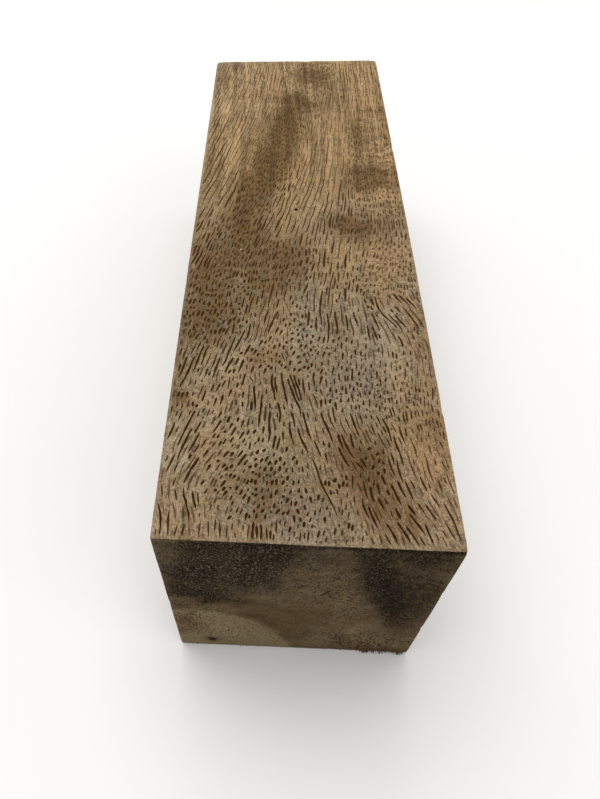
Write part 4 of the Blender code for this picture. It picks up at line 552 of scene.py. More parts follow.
def long_pores(face):
    """Vessels cut along a long face: (centre line, half-width, depth, tone)."""
    rng = np.random.default_rng(face.seed)
    g = .25
    ga, gb = np.arange(0, face.A + g, g), np.arange(0, face.B + g, g)
    GA, GB = np.meshgrid(ga, gb, indexing="ij")
    if face.name == "top":
        far_off = measured(GA, GB)
        lean, run = grain_of_top(GA, far_off)
        run = run * (1 + 1.1 * step(58, 76, far_off) * step(1.5, 4, run))
        spacing, fine = .96, step(46, 96, far_off)
        full = np.maximum(step(42, 49, far_off), patches(FULL, GA, far_off))
    else:
        lean, run = grain_of_side(GA, GB, face.seed)
        spacing, fine = (1.95 if face.name == "bottom" else 1.48), 0 * GA + .3
        full = 0 * GA + 1
    lines = step(math.log(1.1), math.log(3.4), np.log(run))
    lean = lean + np.radians(6) * noise(GA / 2.6, GB / 2.6, 0, face.seed + 9)
    lean = lean + np.radians(4) * noise(GA / .9, GB / 1.3, 0, face.seed + 10)
    room = (.455 + .14 * lines + .08 * noise(GA / 3.5, GB / 6, 0, face.seed + 3)) * spacing * (1 - .16 * fine)
    keep = (.9 + .25 * noise(GA / 4.5, GB / 7, 0, face.seed + 4)) * (.42 + .58 * full)
    strong = (1.0 + .16 * noise(GA / 5, GB / 9, 0, face.seed + 8) - .4 * fine) * (.5 + .5 * full)
    size = (1 + .14 * noise(GA / 3.4, GB / 5, 0, face.seed + 12) - .34 * fine) * (.8 + .2 * full)
    if face.name == "top":
        size = size * (1 + .22 * step(28, 42, far_off))
    if face.name == "top":
        for px, py, rx, ry, apart, bigger, darker in VESSELS:
            w = np.exp(-.72 * (((GA - px) / rx) ** 2 + ((far_off - py) / ry) ** 2))
            room, size, strong = room * np.exp(apart * w), size * np.exp(bigger * w), strong * np.exp(darker * w)
    pitch = .34
    na, nb = int(face.A / pitch), int(face.B / pitch)
    jit = rng.random((na * nb, 7))
    I, J = np.divmod(np.arange(na * nb), nb)
    SA, SB = (I + jit[:, 0]) * pitch, (J + jit[:, 1]) * pitch
    reach = sample(ga, gb, run, SA, SB) * np.exp(.55 * (2 * jit[:, 2] - 1) + .25 * (2 * jit[:, 3] - 1))
    order = np.argsort(.7 * jit[:, 4] - np.log(reach), kind="stable")
    slope, run, room, keep, strong, size = (t.tolist() for t in (np.tan(lean), run, room, keep, strong, size))
    gap, out, left_out = Map(face), [], 0
    skin = Map(face)          # what is already cut, with a thin wall round it

    def look(table, a, b):
        return table[int(a / g + .5)][int(b / g + .5)]

    def inside(a, b):
        return .42 < a < face.A - .42 and .30 < b < face.B - .30

    def follow(a, b, way, most, length, phase):
        pts, here = [], 0.0
        h = .15 * way
        while here < most:
            a, b = a + h * (look(slope, a, b) + .09 * math.sin(1.7 * b + phase)), b + h
            if not inside(a, b) or not gap.free(a, b) or look(run, a, b) * 2.5 < length:
                break
            here += .15
            pts.append((a, b))
        return pts

    for width, tone, *where in (DRAWN if face.name == "top" else ()):
        P = np.array(where).reshape(-1, 2)
        far_apart = math.hypot(*(P[-1] - P[0]))
        more = .15 + .2 * float(step(1.0, 2.2, far_apart)) + .12 * float(step(16, 22, width) * (1 - step(.8, 1.4, far_apart)))
        pts = walk(np.stack([P[:, 0], laid(P[:, 0], P[:, 1])], 1), .12, face.seed + 20, more)
        # the longest stretch that is clear of the others and of the edges
        best, start = (0, 0), None
        for i in range(len(pts) + 1):
            ok = i < len(pts) and inside(*pts[i]) and skin.free(*pts[i])
            if ok and start is None:
                start = i
            if not ok and start is not None:
                best, start = max(best, (i - start, start)), None
        pts = pts[best[1]:best[1] + best[0]]
        if len(pts) < 3:
            left_out += 1
            continue
        half = (min(width, 17) + .4 * max(width - 17, 0)) * (.0123 + .0009 * float(step(14, 44, pts[0][1])))
        for q in pts:
            gap.stamp(*q, .42)
            skin.stamp(*q, half + .12)
        got = .12 * (len(pts) - 1)
        hole = tone > 100
        fade = 1 if hole else 1 - .28 * float(step(42, 54, pts[0][1]))
        out.append((pts, half, .4 if hole else .11 - .03 * min(got, 2), min(.42 + .0068 * tone, 1.0) * fade, got))

    for k in order.tolist():
        a, b, r = float(SA[k]), float(SB[k]), jit[k]
        if not inside(a, b) or not gap.free(a, b) or r[5] > look(keep, a, b):
            continue
        length = max(float(reach[k]), .5)
        ahead = follow(a, b, 1, length * (.3 + .4 * r[3]), length, 6.3 * r[6])
        line = follow(a, b, -1, length - .15 * len(ahead), length, 6.3 * r[6])[::-1] + [(a, b)] + ahead
        got = .15 * (len(line) - 1)
        if got < .42 or got < (.3 if length < 2 else .5) * length:
            continue
        short = 1 - min(max((got - .9) / 2.4, 0), 1)
        half = (.155 + .05 * short) * (.66 + .6 * r[6]) * look(size, a, b)
        tone = look(strong, a, b) * (.6 + .6 * r[2])
        lines = [(line, half)]
        if r[3] > .78 and got < 4:      # two vessels side by side
            shift = (half * 2 + .07) * (1 if r[2] > .5 else -1)
            lag = .35 * (r[5] - .4) * got
            twin = [(p[0] + shift, p[1] + lag) for p in line]
            if all(inside(*p) and gap.free(*p) for p in twin):
                lines.append((twin, half * .9))
        spread = look(room, a, b) * (.66 + (.8 if got < 2 else .45) * r[5])
        for pts, hw in lines:
            if any(not skin.free(*p) for p in pts):
                continue
            last = len(pts) - 1
            for q in sorted(set(range(0, last + 1, 2)) | {last}):
                reach_out = min(spread, .35 + .9 * .15 * min(q, last - q))
                gap.stamp(*pts[q], reach_out)
                skin.stamp(*pts[q], hw + .17)
            out.append((pts, hw, .06 + .06 * short, min(tone, 1.0), got))
    if left_out:
        print("vessels left out:", left_out)
    return out, skin


def end_pores(face):
    """Vessels cut square across: small round holes, with the near end's listed cracks and torn-out spots."""
    rng = np.random.default_rng(face.seed)
    gap, skin, out = Map(face), Map(face), []
    pitch = .36
    na, nb = int(face.A / pitch), int(face.B / pitch)
    jit = rng.random((na * nb, 5))
    edge = .4
    cuts = []
    for width, tone, *where in (NEAR_CUTS if face.name == "near" else ()):
        pts = walk(np.reshape(where, (-1, 2)), .12, face.seed + 20)
        for q in pts:
            gap.stamp(*q, width / 100 + .3)
            skin.stamp(*q, width / 100 + .15)
        cuts.append((pts, width / 100, .16, tone / 100, 0.0))
    for k in rng.permutation(na * nb):
        i, j = divmod(int(k), nb)
        r = jit[k]
        a, b = (i + r[0]) * pitch, (j + r[1]) * pitch
        if not (edge < a < face.A - edge and edge < b < face.B - edge) or not gap.free(a, b) or r[2] > .82:
            continue
        gap.stamp(a, b, .80 + .24 * r[3])
        skin.stamp(a, b, .26)
        out.append((a, b, .085 + .05 * r[4], r[3]))
    return out, cuts, skin


def outline(pts, half, apart, least):
    """A cut vessel's rim and floor line, from points along its middle."""
    P = np.array(pts)
    d = np.sqrt(((P[1:] - P[:-1]) ** 2).sum(1))
    s = np.concatenate([[0], np.cumsum(d)])
    total = s[-1]
    n = max(least, int(round(total / apart)))
    t = (np.arange(n) + .5) / n
    t = .5 + (t - .5) * (1 - .12 / n)
    where = t * total
    C = np.stack([np.interp(where, s, P[:, 0]), np.interp(where, s, P[:, 1])], 1)
    T = np.vstack([P[0], C, P[-1]])
    tan = T[2:] - T[:-2]
    tan /= np.sqrt((tan ** 2).sum(1))[:, None]
    nor = np.stack([-tan[:, 1], tan[:, 0]], 1)
    # blunt where the vessel goes down, tapered where it comes up, never quite even
    w = half * np.clip(np.sin(math.pi * t ** .8) ** .34, .46, 1) * (1 + .26 * np.sin(4.3 * where + 60 * half))
    left, right = C + nor * w[:, None], C - nor * (w * (1 + .15 * np.cos(9 * where)))[:, None]
    rim = np.vstack([P[:1], right, P[-1:], left[::-1]])
    return rim, C, t


# ------------------------------------------------------------- colour in wood
# On the near end, from the left edge and the bottom: half-width, half-height,
# lean, strength.
NEAR_CHAR_AND_SHADOW = (
    (9, 31.5, 8.5, 7.5, 0, .5), (11, 39.4, 7, 1.3, 0, .75), (7, 38.2, 2.6, 1.6, 0, .8), (14.3, 37.4, 2.2, 2.6, 0, .72), (16.4, 35.8, 1.4, 2, 0, .4),
    (5.6, 31.2, 3.2, 3.8, 0, .9), (3, 29.5, 1.8, 1.8, 0, .6), (12.4, 33.6, 2.2, 2.8, 0, .65), (11.6, 27.4, 1.4, 2.2, 0, .6), (13.4, 29.4, 1.4, 2, 0, .45),
    (4.6, 23.4, 3.4, 1.9, 0, .8), (7.4, 22.9, 1.8, 1.3, 0, .6), (2.2, 25, 1.6, 1.8, 0, .6), (5.3, 20.2, .9, 1.1, 0, .55), (15.2, 26.4, 1.1, 1.3, 0, .4),
    (20.5, 37, 4, 2.4, 0, .35), (28.1, 34.6, 1.7, 3.4, -12, .9), (29.6, 29.8, 2.1, 3.8, -14, .95), (31.2, 24.4, 1.9, 3.6, -18, .7), (32.4, 19.4, 1.8, 3.4, -10, .55),
    (33.5, 14.4, 1.4, 2.6, 0, .4), (34.6, 30, 4.4, 9, 0, .43), (36.4, 20, 2.8, 10, 0, .38), (30.4, 28, 2.6, 7, -14, .4), (16, 7.5, .9, 3.2, -30, .3), (2.2, 22.2, 2.4, .7, -14, .5), (9.6, 20.9, 3.6, .6, -7, .55), (34, 38.2, 4.8, 2.2, 0, .6), (28, 38.8, 2.4, 1.2, 0, .5),
    # the two thin strips at 40.3 up on this line paint a shadow line along the top edge
    (5.2, 3.5, 1.0, .9, 0, .9), (22, 40.3, 8, .45, 0, .7), (34, 40.3, 6, .5, 0, .7), (9.6, 19.4, 2.4, 1.0, 0, .3), (13.6, 14.0, 1.1, 2.6, -45, .3),
)
NEAR_BROWN = (
    (34, 25, 4.4, 10, 0, .5), (24, 28, 4, 6.5, 0, .3), (18.5, 15.4, 6, 5.4, 0, .7), (13.3, 14.0, 1.2, 3, -46, .75), (35, 12, 2, 6, 0, .45), (31.8, 4.6, 3.4, 1.6, 0, .4), (17.3, 8.2, 1.1, 3.6, -28, .6), (9, 19.7, 3, 1.1, 0, .5), (2.2, 18.4, 2.4, 1.8, 0, .6),
    (2.0, 11.6, 1.9, 3.2, 0, .85), (3.6, 8.0, 1.5, 2.2, 0, .45), (.9, 7, .9, 1.6, 0, .6), (26.3, 5.2, 1.2, 3.2, -8, .75), (20.5, 7.4, .8, 1.8, 0, .5),
    (23.4, 8.2, .7, .9, 0, .7), (19, 13, .8, 1, 0, .5), (33, .9, 4.8, 1.1, 0, 1.0), (30.2, 2.6, 1.6, 1.3, 0, .75), (31, 8.8, 1.4, 1.8, 0, .45),
    (30, 16.4, 1.6, 2, 0, .5), (27, 15.5, 1.2, 2.4, 0, .45), (36, 40.2, 2.6, .3, 0, .8), (24.5, .7, 3, .5, 0, .5),
)
NEAR_PALE = (
    (32.7, 12.2, 1.7, 1.9, 0, .75), (28.2, 10.6, 1.8, 2.4, 0, .65), (36.6, 6.2, 1.2, 2.4, 0, .5), (33, 6, 2.2, 2.4, 0, .8), (30, 9.5, 5, 4, 0, .4), (22.6, 3.6, 2.2, 2, 0, .4),
    (25.2, 21.5, 2, 2.6, 0, .35), (21.5, 32, 3.4, 3, 0, .2), (1.4, 35.4, 1.5, 2.6, 0, .4), (9.4, 36.2, 1.3, 1.4, 0, .35), (9, 26.4, 1.2, 2, 0, .35),
    (13, 22.5, 2.2, 1.4, 0, .25), (17.8, 23.5, 1.6, 1.6, 0, .3), (1.9, 40.2, 2.2, .16, 0, .8), (9, 13.4, 3, 2, 0, .25),
)
NEAR_TORN = (
    (9, 32, 9.5, 9, 0, 1.0), (21, 33, 7, 7, 0, .7), (26, 24, 4, 6, 0, .75), (2.4, 13, 2.8, 5.4, 0, .9), (9, 7, 4, 4, 0, .45), (30, 34, 4, 6, 0, .25),
    (36, 38, 3, 2.4, 0, .5), (31, 5, 7, 5, 0, .85), (36.5, 16, 2, 8, 0, .5),
)
# Cracks and torn-out spots there: half-width and strength in hundredths, then points.
NEAR_CUTS = (
    (11, 100, 23.6, 27.3, 22.9, 26.0, 22.2, 25.0, 21.4, 24.2), (13, 100, 5.7, 20.5, 5.0, 19.0), (24, 100, 5.6, 4.0, 5.0, 3.0),
    (12, 90, 23.5, 8.8, 23.4, 7.7), (10, 70, 20.6, 8.2, 20.4, 6.6), (13, 90, 26.5, 4.8, 26.9, 2.8), (10, 70, 19.2, 13.5, 18.8, 12.4), (9, 70, 25.8, 8.8, 25.5, 6.6),
    (9, 70, 1.9, 13.8, 1.7, 12.2), (9, 70, 3.0, 10.6, 2.8, 9.2), (9, 60, 8.4, 8.6, 8.2, 7.0), (9, 60, 30.9, 9.8, 30.7, 8.2), (9, 60, 27.2, 17.0, 27.0, 15.4),
    (9, 80, 28.6, 33.4, 28.3, 31.8), (9, 80, 32.0, 23.6, 31.7, 22.2), (9, 80, 12.6, 27.6, 12.4, 26.0), (9, 80, 3.1, 31.0, 2.9, 29.4), (9, 80, 15.6, 36.6, 15.4, 35.0),
    (8, 90, 30.6, 2.7, 30.3, 1.7), (7, 90, 32.2, 3.4, 32.0, 2.2), (8, 90, 33.7, 2.3, 33.5, 1.3), (8, 90, 35.4, 3.0, 35.3, 1.9), (7, 90, 28.9, 2.4, 28.8, 1.4),
)
FAR_CHAR = (
    (26, 33, 8, 4.4, 12, .6), (29.5, 28.5, 3.4, 3.2, 30, .45), (20, 37.6, 7, 2.0, 4, .5), (34.8, 16, 1.5, 8, -6, .6), (33.6, 9, 1.2, 4, 8, .35),
    (10.5, 37.2, 5.5, 2.2, -6, .6), (7.6, 31.5, 2.2, 3.6, 14, .4), (5.6, 23, 1.4, 5.6, 12, .55), (4.2, 16.5, 1.2, 3.2, 0, .35),
    (16.5, 27, 1.3, 4.6, -24, .35), (21, 4.4, 1, .7, 0, .6), (33, 38.2, 3.6, 1.8, 0, .55),
)
FAR_BROWN = (
    (18, 17, 6.4, 4.4, -20, .7), (30, 6, 3, 2.4, 0, .6), (8, 12.6, 2.6, 2, 0, .5), (25, 22, 2, 3, 0, .5), (4, 1.1, 5, .9, 0, .8),
)
FAR_PALE = ((24, 12, 3, 3, 0, .45), (10, 29, 3, 3, 0, .35), (34, 24, 2.4, 3, 0, .4), (14, 6, 3, 2, 0, .3))
FAR_TORN = ((12, 31, 9, 7, 0, .9), (28, 27, 7, 8, 0, .8), (7, 9, 5, 4, 0, .5), (30, 8, 6, 5, 0, .6))


def colours_long(x, y, z):
    """Dark, gold, grey, rust and the rippled figure's painted sheen for wood cut along the grain."""
    left, depth = x + W / 2, H - z
    near_top = np.exp(-(depth / 7.5) ** 2)
    y = measured(left, y)
    wob = .9 * noise(x / 2.2, y / 4, z / 2.2, 90)
    bend = 1.2 * noise(x / 3, y / 5, z / 3, 89)

    def layer(table, seed, low, high, much, sx, sy):
        mapped = patches(table, left + wob, y + bend)
        free = much * step(low, high, cloud(x / sx, y / sy, z / sx, seed, 2))
        return mapped * near_top + free * (1 - near_top)

    dark = layer(DARK, 91, .0, .55, .85, 9, 24)
    gold = layer(GOLD, 92, .05, .6, .8, 5, 30)
    grey = layer(GREY, 93, .1, .6, .6, 9, 14)
    rust = layer(RUST, 94, .1, .6, .7, 10, 20)
    ripple_sheen = layer(RIPPLE_SHEEN, 95, .1, .6, .8, 9, 15)
    return dark, gold, grey, rust, ripple_sheen


def colours_end(face, x, z):
    """Charcoal (with a painted shadow line along the near end's top edge), brown, pale, torn and the smooth heart for
    wood cut across the grain.
    """
    left = x + W / 2
    wob, bend = .7 * noise(x / 1.7, 0, z / 1.7, 96), .7 * noise(x / 1.7, 5, z / 1.7, 97)
    tables = (NEAR_CHAR_AND_SHADOW, NEAR_BROWN, NEAR_PALE, NEAR_TORN) if face.name == "near" else (FAR_CHAR, FAR_BROWN, FAR_PALE, FAR_TORN)
    char_and_shadow, brown, pale, torn = (patches(t, left + wob, z + bend) for t in tables)
    r = np.hypot(x - PITH[0], z - PITH[1])
    turn = np.arctan2(z - PITH[1], x - PITH[0])
    r = r + .35 * np.sin(3 * turn + .5) + .2 * noise(turn * 4, 0, 0, 98)
    heart = 1 - step(17.0, 17.6, r) if face.name == "near" else 1 - step(14.6, 15.3, r)
    return char_and_shadow, brown, pale, torn, heart


def drawn_across(face):
    """For a long face: which fibre a point lies on, as its distance across at the near end."""
    g, pad = .5, 16.0
    ga, gb = np.arange(-pad, face.A + pad + g, g), np.arange(0, face.B + g, g)
    GA, GB = np.meshgrid(ga, gb, indexing="ij")
    lean, run = grain_of_top(GA, measured(GA, GB)) if face.name == "top" else grain_of_side(GA, GB, face.seed)
    U = np.empty_like(GA)
    U[:, 0] = ga
    slope = np.tan(lean)
    for j in range(1, len(gb)):
        back = np.interp(ga - slope[:, j - 1] * g, ga, U[:, j - 1])
        U[:, j] = back + (ga - back) * (g / 30)
    return ga, gb, U, run


def sample(ga, gb, table, a, b):
    i = np.clip((a - ga[0]) / (ga[1] - ga[0]), 0, len(ga) - 1.001)
    j = np.clip((b - gb[0]) / (gb[1] - gb[0]), 0, len(gb) - 1.001)
    i0, j0 = i.astype(int), j.astype(int)
    fi, fj = i - i0, j - j0
    return (table[i0, j0] * (1 - fi) * (1 - fj) + table[i0 + 1, j0] * fi * (1 - fj)
            + table[i0, j0 + 1] * (1 - fi) * fj + table[i0 + 1, j0 + 1] * fi * fj)


# ------------------------------------------------------------------- the mesh
# Where each face lies on the unit square: corner and scale, in units of 168.
SHEET = 168.0
LAYOUT = {
    "top": (1.2, 1.6, 1.30), "right": (53.2, 1.6, .93), "left": (92.2, 1.6, .93), "bottom": (131.2, 1.6, .93),
    "near": (53.2, 121.2, 1.13), "far": (99.2, 121.2, 1.13),
}
GRID = {"top": 1.4, "bottom": 2.4, "right": 1.9, "left": 1.9, "near": .95, "far": 1.2}


def lay_out(face):
    """One face's points, triangles and surface values."""
    sa, sb = STATIONS[face.sides[0]], STATIONS[face.sides[1]]
    A, B = face.A, face.B
    loop = ([(s, 0.0) for s in sa[:-1]] + [(A, s) for s in sb[:-1]]
            + [(A - s, B) for s in sa[:-1]] + [(0.0, B - s) for s in sb[:-1]])
    pts = list(loop)
    depth = [0.0] * len(pts)
    edges, loops = [], [list(range(len(loop)))]

    for s, half in ((.10, 1), (.27, 0)):
        for side, stations in ((0, sa), (1, sb), (2, sa), (3, sb)):
            where = (stations[1:] + stations[:-1]) / 2 if half else stations[1:-1]
            size = A if side in (0, 2) else B
            for w in where[(where > s * 1.2) & (where < size - s * 1.2)]:
                pts.append({0: (w, s), 1: (A - s, w), 2: (w, B - s), 3: (s, w)}[side])
                depth.append(0.0)
        for ca in (s, A - s):
            for cb in (s, B - s):
                pts.append((ca, cb))
                depth.append(0.0)

    shade = [0.0] * len(pts)       # 0 on a vessel's rim, 1 on its floor
    tones = []                     # how dark each vessel is
    if face.end:
        round_ones, pores, skin = end_pores(face)
        for a, b, r, u in round_ones:
            n = 5
            base = len(pts)
            for k in range(n):
                t = 2 * math.pi * (k / n + u)
                pts.append((a + r * math.cos(t), b + r * (1 + .3 * u) * math.sin(t)))
            pts.append((a, b))
            depth.extend([0.0] * n + [.12])
            shade.extend([0.0] * n + [1.0])
            tones.append(.45 + .55 * u)
            loops.append(list(range(base, base + n)))
    else:
        round_ones, (pores, skin) = [], long_pores(face)
    for line, half, deep, tone, got in pores:
        near = face.name == "top" and line[0][1] < 46
        tones.append(tone)
        rim, floor, t = outline(line, half, .95 if near else 1.35, 1 if got < .85 and not near else 2)
        hole = deep > .3
        if hole:                   # the one round pinhole
            c, turn = np.mean(line, 0), np.arange(8) * math.pi / 4
            rim, floor, t = c + half * np.stack([np.cos(turn), 1.1 * np.sin(turn)], 1), c[None], np.array([.8])
        base = len(pts)
        pts.extend(map(tuple, rim.tolist()))
        depth.extend([0.0] * len(rim))
        shade.extend([0.0] * len(rim))
        loops.append(list(range(base, base + len(rim))))
        base = len(pts)
        pts.extend(map(tuple, floor.tolist()))
        depth.extend((deep * (.55 + .6 * t)).tolist())
        # 3 on the pinhole's floor, where the material paints near-black shade
        shade.extend([3.0 if hole else 1.0] * len(floor))
        edges.extend((base + k, base + k + 1) for k in range(len(floor) - 1))

    g = GRID[face.name]
    rng = np.random.default_rng(face.seed + 1000)
    rows = int(B / (g * .866))
    for j in range(rows + 1):
        b0 = (j + .5) * B / (rows + 1)
        for a0 in np.arange(.3 + (j % 2) * g / 2, A, g):
            a = a0 + rng.uniform(-.2, .2) * g
            b = b0 + rng.uniform(-.2, .2) * g
            if .5 < a < A - .5 and .5 < b < B - .5 and skin.free(a, b):
                pts.append((a, b))
                depth.append(0.0)
                shade.append(0.0)

    out = delaunay_2d_cdt([Vector(p) for p in pts], edges, loops, 1, 1e-6)
    where, tris, origin, came_from = out[0], out[2], out[3], out[5]
    ab = np.array([pts[o[0]] if o else tuple(v) for v, o in zip(where, origin)])
    deep = np.array([max((depth[i] for i in o), default=0.0) for o in origin])
    pore = np.array([max((shade[i] for i in o), default=0.0) for o in origin])
    keep = [k for k, t in enumerate(tris) if len(t) == 3]
    tri = np.array([tris[k] for k in keep])
    cut = np.array([any(f > 0 for f in came_from[k]) for k in keep])
    strength = np.array([max((tones[f - 1] for f in came_from[k] if f > 0), default=0.0) for k in keep])
    a, b = ab[:, 0], ab[:, 1]
    x, y, z = face.place(a, b)
    xyz = np.stack(solid(x, y, z, relief(face, a, b) - deep), 1)

    if face.end:
        char_and_shadow, brown, pale, torn, heart = colours_end(face, x, z)
        tone = np.stack([char_and_shadow, brown, pale], 1)
        tint = np.stack([torn, heart, 0 * a], 1)
        grain = np.stack([np.hypot(x - PITH[0], z - PITH[1]), 30 * np.arctan2(z - PITH[1], x - PITH[0]), 0 * a + face.seed], 1)
    else:
        dark, gold, grey, rust, ripple_sheen = colours_long(x, y, z)
        ga, gb, U, run = drawn_across(face)
        long_run = step(math.log(.9), math.log(3.2), np.log(sample(ga, gb, run, a, b)))
        tone = np.stack([dark, gold, grey], 1)
        tint = np.stack([rust, ripple_sheen, long_run], 1)
        grain = np.stack([sample(ga, gb, U, a, b), b, 0 * a + face.seed], 1)
    u0, v0, s = LAYOUT[face.name]
    uv = np.stack([(u0 + a * s) / SHEET, (v0 + b * s) / SHEET], 1)
    return dict(key=np.round(np.stack([x, y, z], 1), 4), rim=(a < 1e-6) | (a > A - 1e-6) | (b < 1e-6) | (b > B - 1e-6),
                xyz=xyz, tri=tri, cut=cut, strength=strength, pore=pore[:, None], tone=tone, tint=tint, grain=grain, uv=uv, pores=len(pores) + len(round_ones),
                length=sum(v[-1] for v in pores))


def fibres():
    """Torn ends of fibres along the bottom edge of the near end, and a few on its other edges."""
    rng = np.random.default_rng(7)
    sprigs = []
    for _ in range(120):                       # the torn stretch at the lower right
        x = rng.uniform(10.8, 18.9)
        thick = .8 * math.exp(-((x - 12.0) / .8) ** 2) + math.exp(-((x - 14.4) / 1.0) ** 2) + 1.2 * math.exp(-((x - 17.6) / .9) ** 2)
        if rng.random() > .25 + thick:
            continue
        sprigs.append(((x, -.02, rng.uniform(.06, .34)), (rng.normal(0, .45), -1, rng.normal(-.12, .16)),
                       rng.uniform(.25, .62) * (.55 + .5 * thick), rng.uniform(.035, .07)))
    for _ in range(46):                        # shorter ones all along the bottom
        sprigs.append(((rng.uniform(-18.6, 18.6), -.02, rng.uniform(.08, .3)), (rng.normal(0, .4), -1, rng.normal(0, .2)),
                       rng.uniform(.1, .24), rng.uniform(.03, .05)))
    for _ in range(60):                        # and up the two corners
        side = rng.choice([-1.0, 1.0])
        sprigs.append(((side * 19.2, rng.uniform(.05, .3), rng.uniform(1, 39)), (side, -.5, rng.normal(0, .5)),
                       rng.uniform(.08, .2), rng.uniform(.025, .045)))
    verts, tris = [], []
    for base, way, length, thick in sprigs:
        way = np.array(way, float)
        way /= np.sqrt((way ** 2).sum())
        up = np.cross(way, (0.3, 0.1, 1.0))
        up /= np.sqrt((up ** 2).sum())
        side = np.cross(way, up)
        bend = rng.normal(0, .28, 2)
        start = np.array(base) - way * .12
        first = len(verts)
        n = 4
        for k in range(n):
            t = k / n
            mid = start + way * (length + .12) * t + (up * bend[0] + side * bend[1]) * length * t * t
            w = thick * (1 - .75 * t)
            for q in range(3):
                ang = 2 * math.pi * q / 3 + t
                p = mid + (up * math.cos(ang) + side * math.sin(ang)) * w
                verts.append((p[0], p[1], max(p[2], .012)))
        tip = start + way * (length + .12) + (up * bend[0] + side * bend[1]) * length
        verts.append((tip[0], tip[1], max(tip[2], .012)))
        for k in range(n - 1):
            for q in range(3):
                i, j = first + 3 * k + q, first + 3 * k + (q + 1) % 3
                tris += [(i, j, j + 3), (i, j + 3, i + 3)]
        last = first + 3 * (n - 1)
        for q in range(3):
            tris.append((last + q, last + (q + 1) % 3, first + 3 * n))
        tris.append((first + 2, first + 1, first))
    V = np.array(verts)
    V[:, 1] += -V[:, 0] * TAN_NEAR - Y_MID
    return V, np.array(tris)


def build_block():
    parts = [lay_out(f) for f in FACES]
    at, verts, index = {}, [], []
    count = 0
    for p in parts:
        ids = np.empty(len(p["xyz"]), int)
        for i, on_rim in enumerate(p["rim"]):
            if on_rim:
                key = tuple(p["key"][i] + 0.0)
                if key not in at:
                    at[key] = count
                    verts.append(p["xyz"][i])
                    count += 1
                ids[i] = at[key]
            else:
                verts.append(p["xyz"][i])
                ids[i] = count
                count += 1
        index.append(ids)
    tri = np.concatenate([ids[p["tri"]] for ids, p in zip(index, parts)])
    tone, tint, grain, uv, pore = (np.concatenate([p[k][p["tri"]].reshape(-1, p[k].shape[1]) for p in parts])
                                   for k in ("tone", "tint", "grain", "uv", "pore"))
    strength = np.concatenate([np.repeat(p["strength"], 3) for p in parts])
    pore = np.stack([pore[:, 0], strength, 0 * strength], 1)
    end = np.concatenate([np.full(3 * len(p["tri"]), 1.0 if f.end else 0.0) for f, p in zip(FACES, parts)])
    cut = np.concatenate([p["cut"] for p in parts])

    fv, ft = fibres()
    tri = np.concatenate([tri, ft + count])
    V = np.concatenate([np.array(verts), fv])
    more = 3 * len(ft)
    pore = np.concatenate([pore, np.zeros((more, 3))])
    tone = np.concatenate([tone, np.tile((.0, .25, .8), (more, 1))])
    tint = np.concatenate([tint, np.tile((.2, 0, 0), (more, 1))])
    grain = np.concatenate([grain, np.repeat(fv[ft].mean(1), 3, 0)])
    end = np.concatenate([end, np.ones(more)])
    cut = np.concatenate([cut, np.zeros(len(ft), bool)])
    # each fibre's triangles get small cells of their own in the free corner of the sheet
    n = int(math.ceil(math.sqrt(len(ft))))
    k = np.arange(len(ft))
    cell = 22.0 / n
    cu, cv = 145.0 + (k % n) * cell, 121.5 + (k // n) * cell
    shape = np.array([(.15, .15), (.85, .15), (.15, .85)]) * cell
    fuv = (np.stack([cu, cv], 1)[:, None, :] + shape[None]).reshape(-1, 2) / SHEET
    uv = np.concatenate([uv, fuv])

    me = bpy.data.meshes.new("wood_block_surface")
    me.vertices.add(len(V))
    me.vertices.foreach_set("co", (V / 1000).ravel())
    me.loops.add(3 * len(tri))
    me.loops.foreach_set("vertex_index", tri.ravel())
    me.polygons.add(len(tri))
    me.polygons.foreach_set("loop_start", np.arange(len(tri)) * 3)
    me.polygons.foreach_set("loop_total", np.full(len(tri), 3))
    me.polygons.foreach_set("use_smooth", np.ones(len(tri), bool))
    me.update(calc_edges=True)

    # crisp rims on the pores
    edge_of = np.empty(len(me.loops), int)
    me.loops.foreach_get("edge_index", edge_of)
    flag = np.repeat(cut, 3)
    a = np.zeros(len(me.edges), int)
    np.add.at(a, edge_of, flag.astype(int))
    sharp = me.attributes.new("sharp_edge", "BOOLEAN", "EDGE")
    sharp.data.foreach_set("value", a == 1)

    def corner(name, values):
        kind = "FLOAT_VECTOR" if values.ndim == 2 else "FLOAT"
        at = me.attributes.new(name, kind, "CORNER")
        at.data.foreach_set("vector" if values.ndim == 2 else "value", np.ascontiguousarray(values, np.float32).ravel())

    corner("tone", tone)
    corner("tint", tint)
    corner("grain", grain)
    corner("pore", pore)
    corner("end", end)
    layer = me.uv_layers.new(name="OFBake")
    layer.data.foreach_set("uv", uv.astype(np.float32).ravel())
    me.validate(verbose=False)
    ob = bpy.data.objects.new("wood_block_surface", me)
    bpy.context.scene.collection.objects.link(ob)
    print("surface:", len(V), "points", len(tri), "triangles", [(f.name, p["pores"], len(p["tri"]), round(p["length"] / f.A / f.B, 2)) for f, p in zip(FACES, parts)])
    return ob


# --------------------------------------------------------------- the material
def linear(r, g, b):
    return tuple(((c / 255 + .055) / 1.055) ** 2.4 if c > 10 else c / 255 / 12.92 for c in (r, g, b)) + (1.0,)


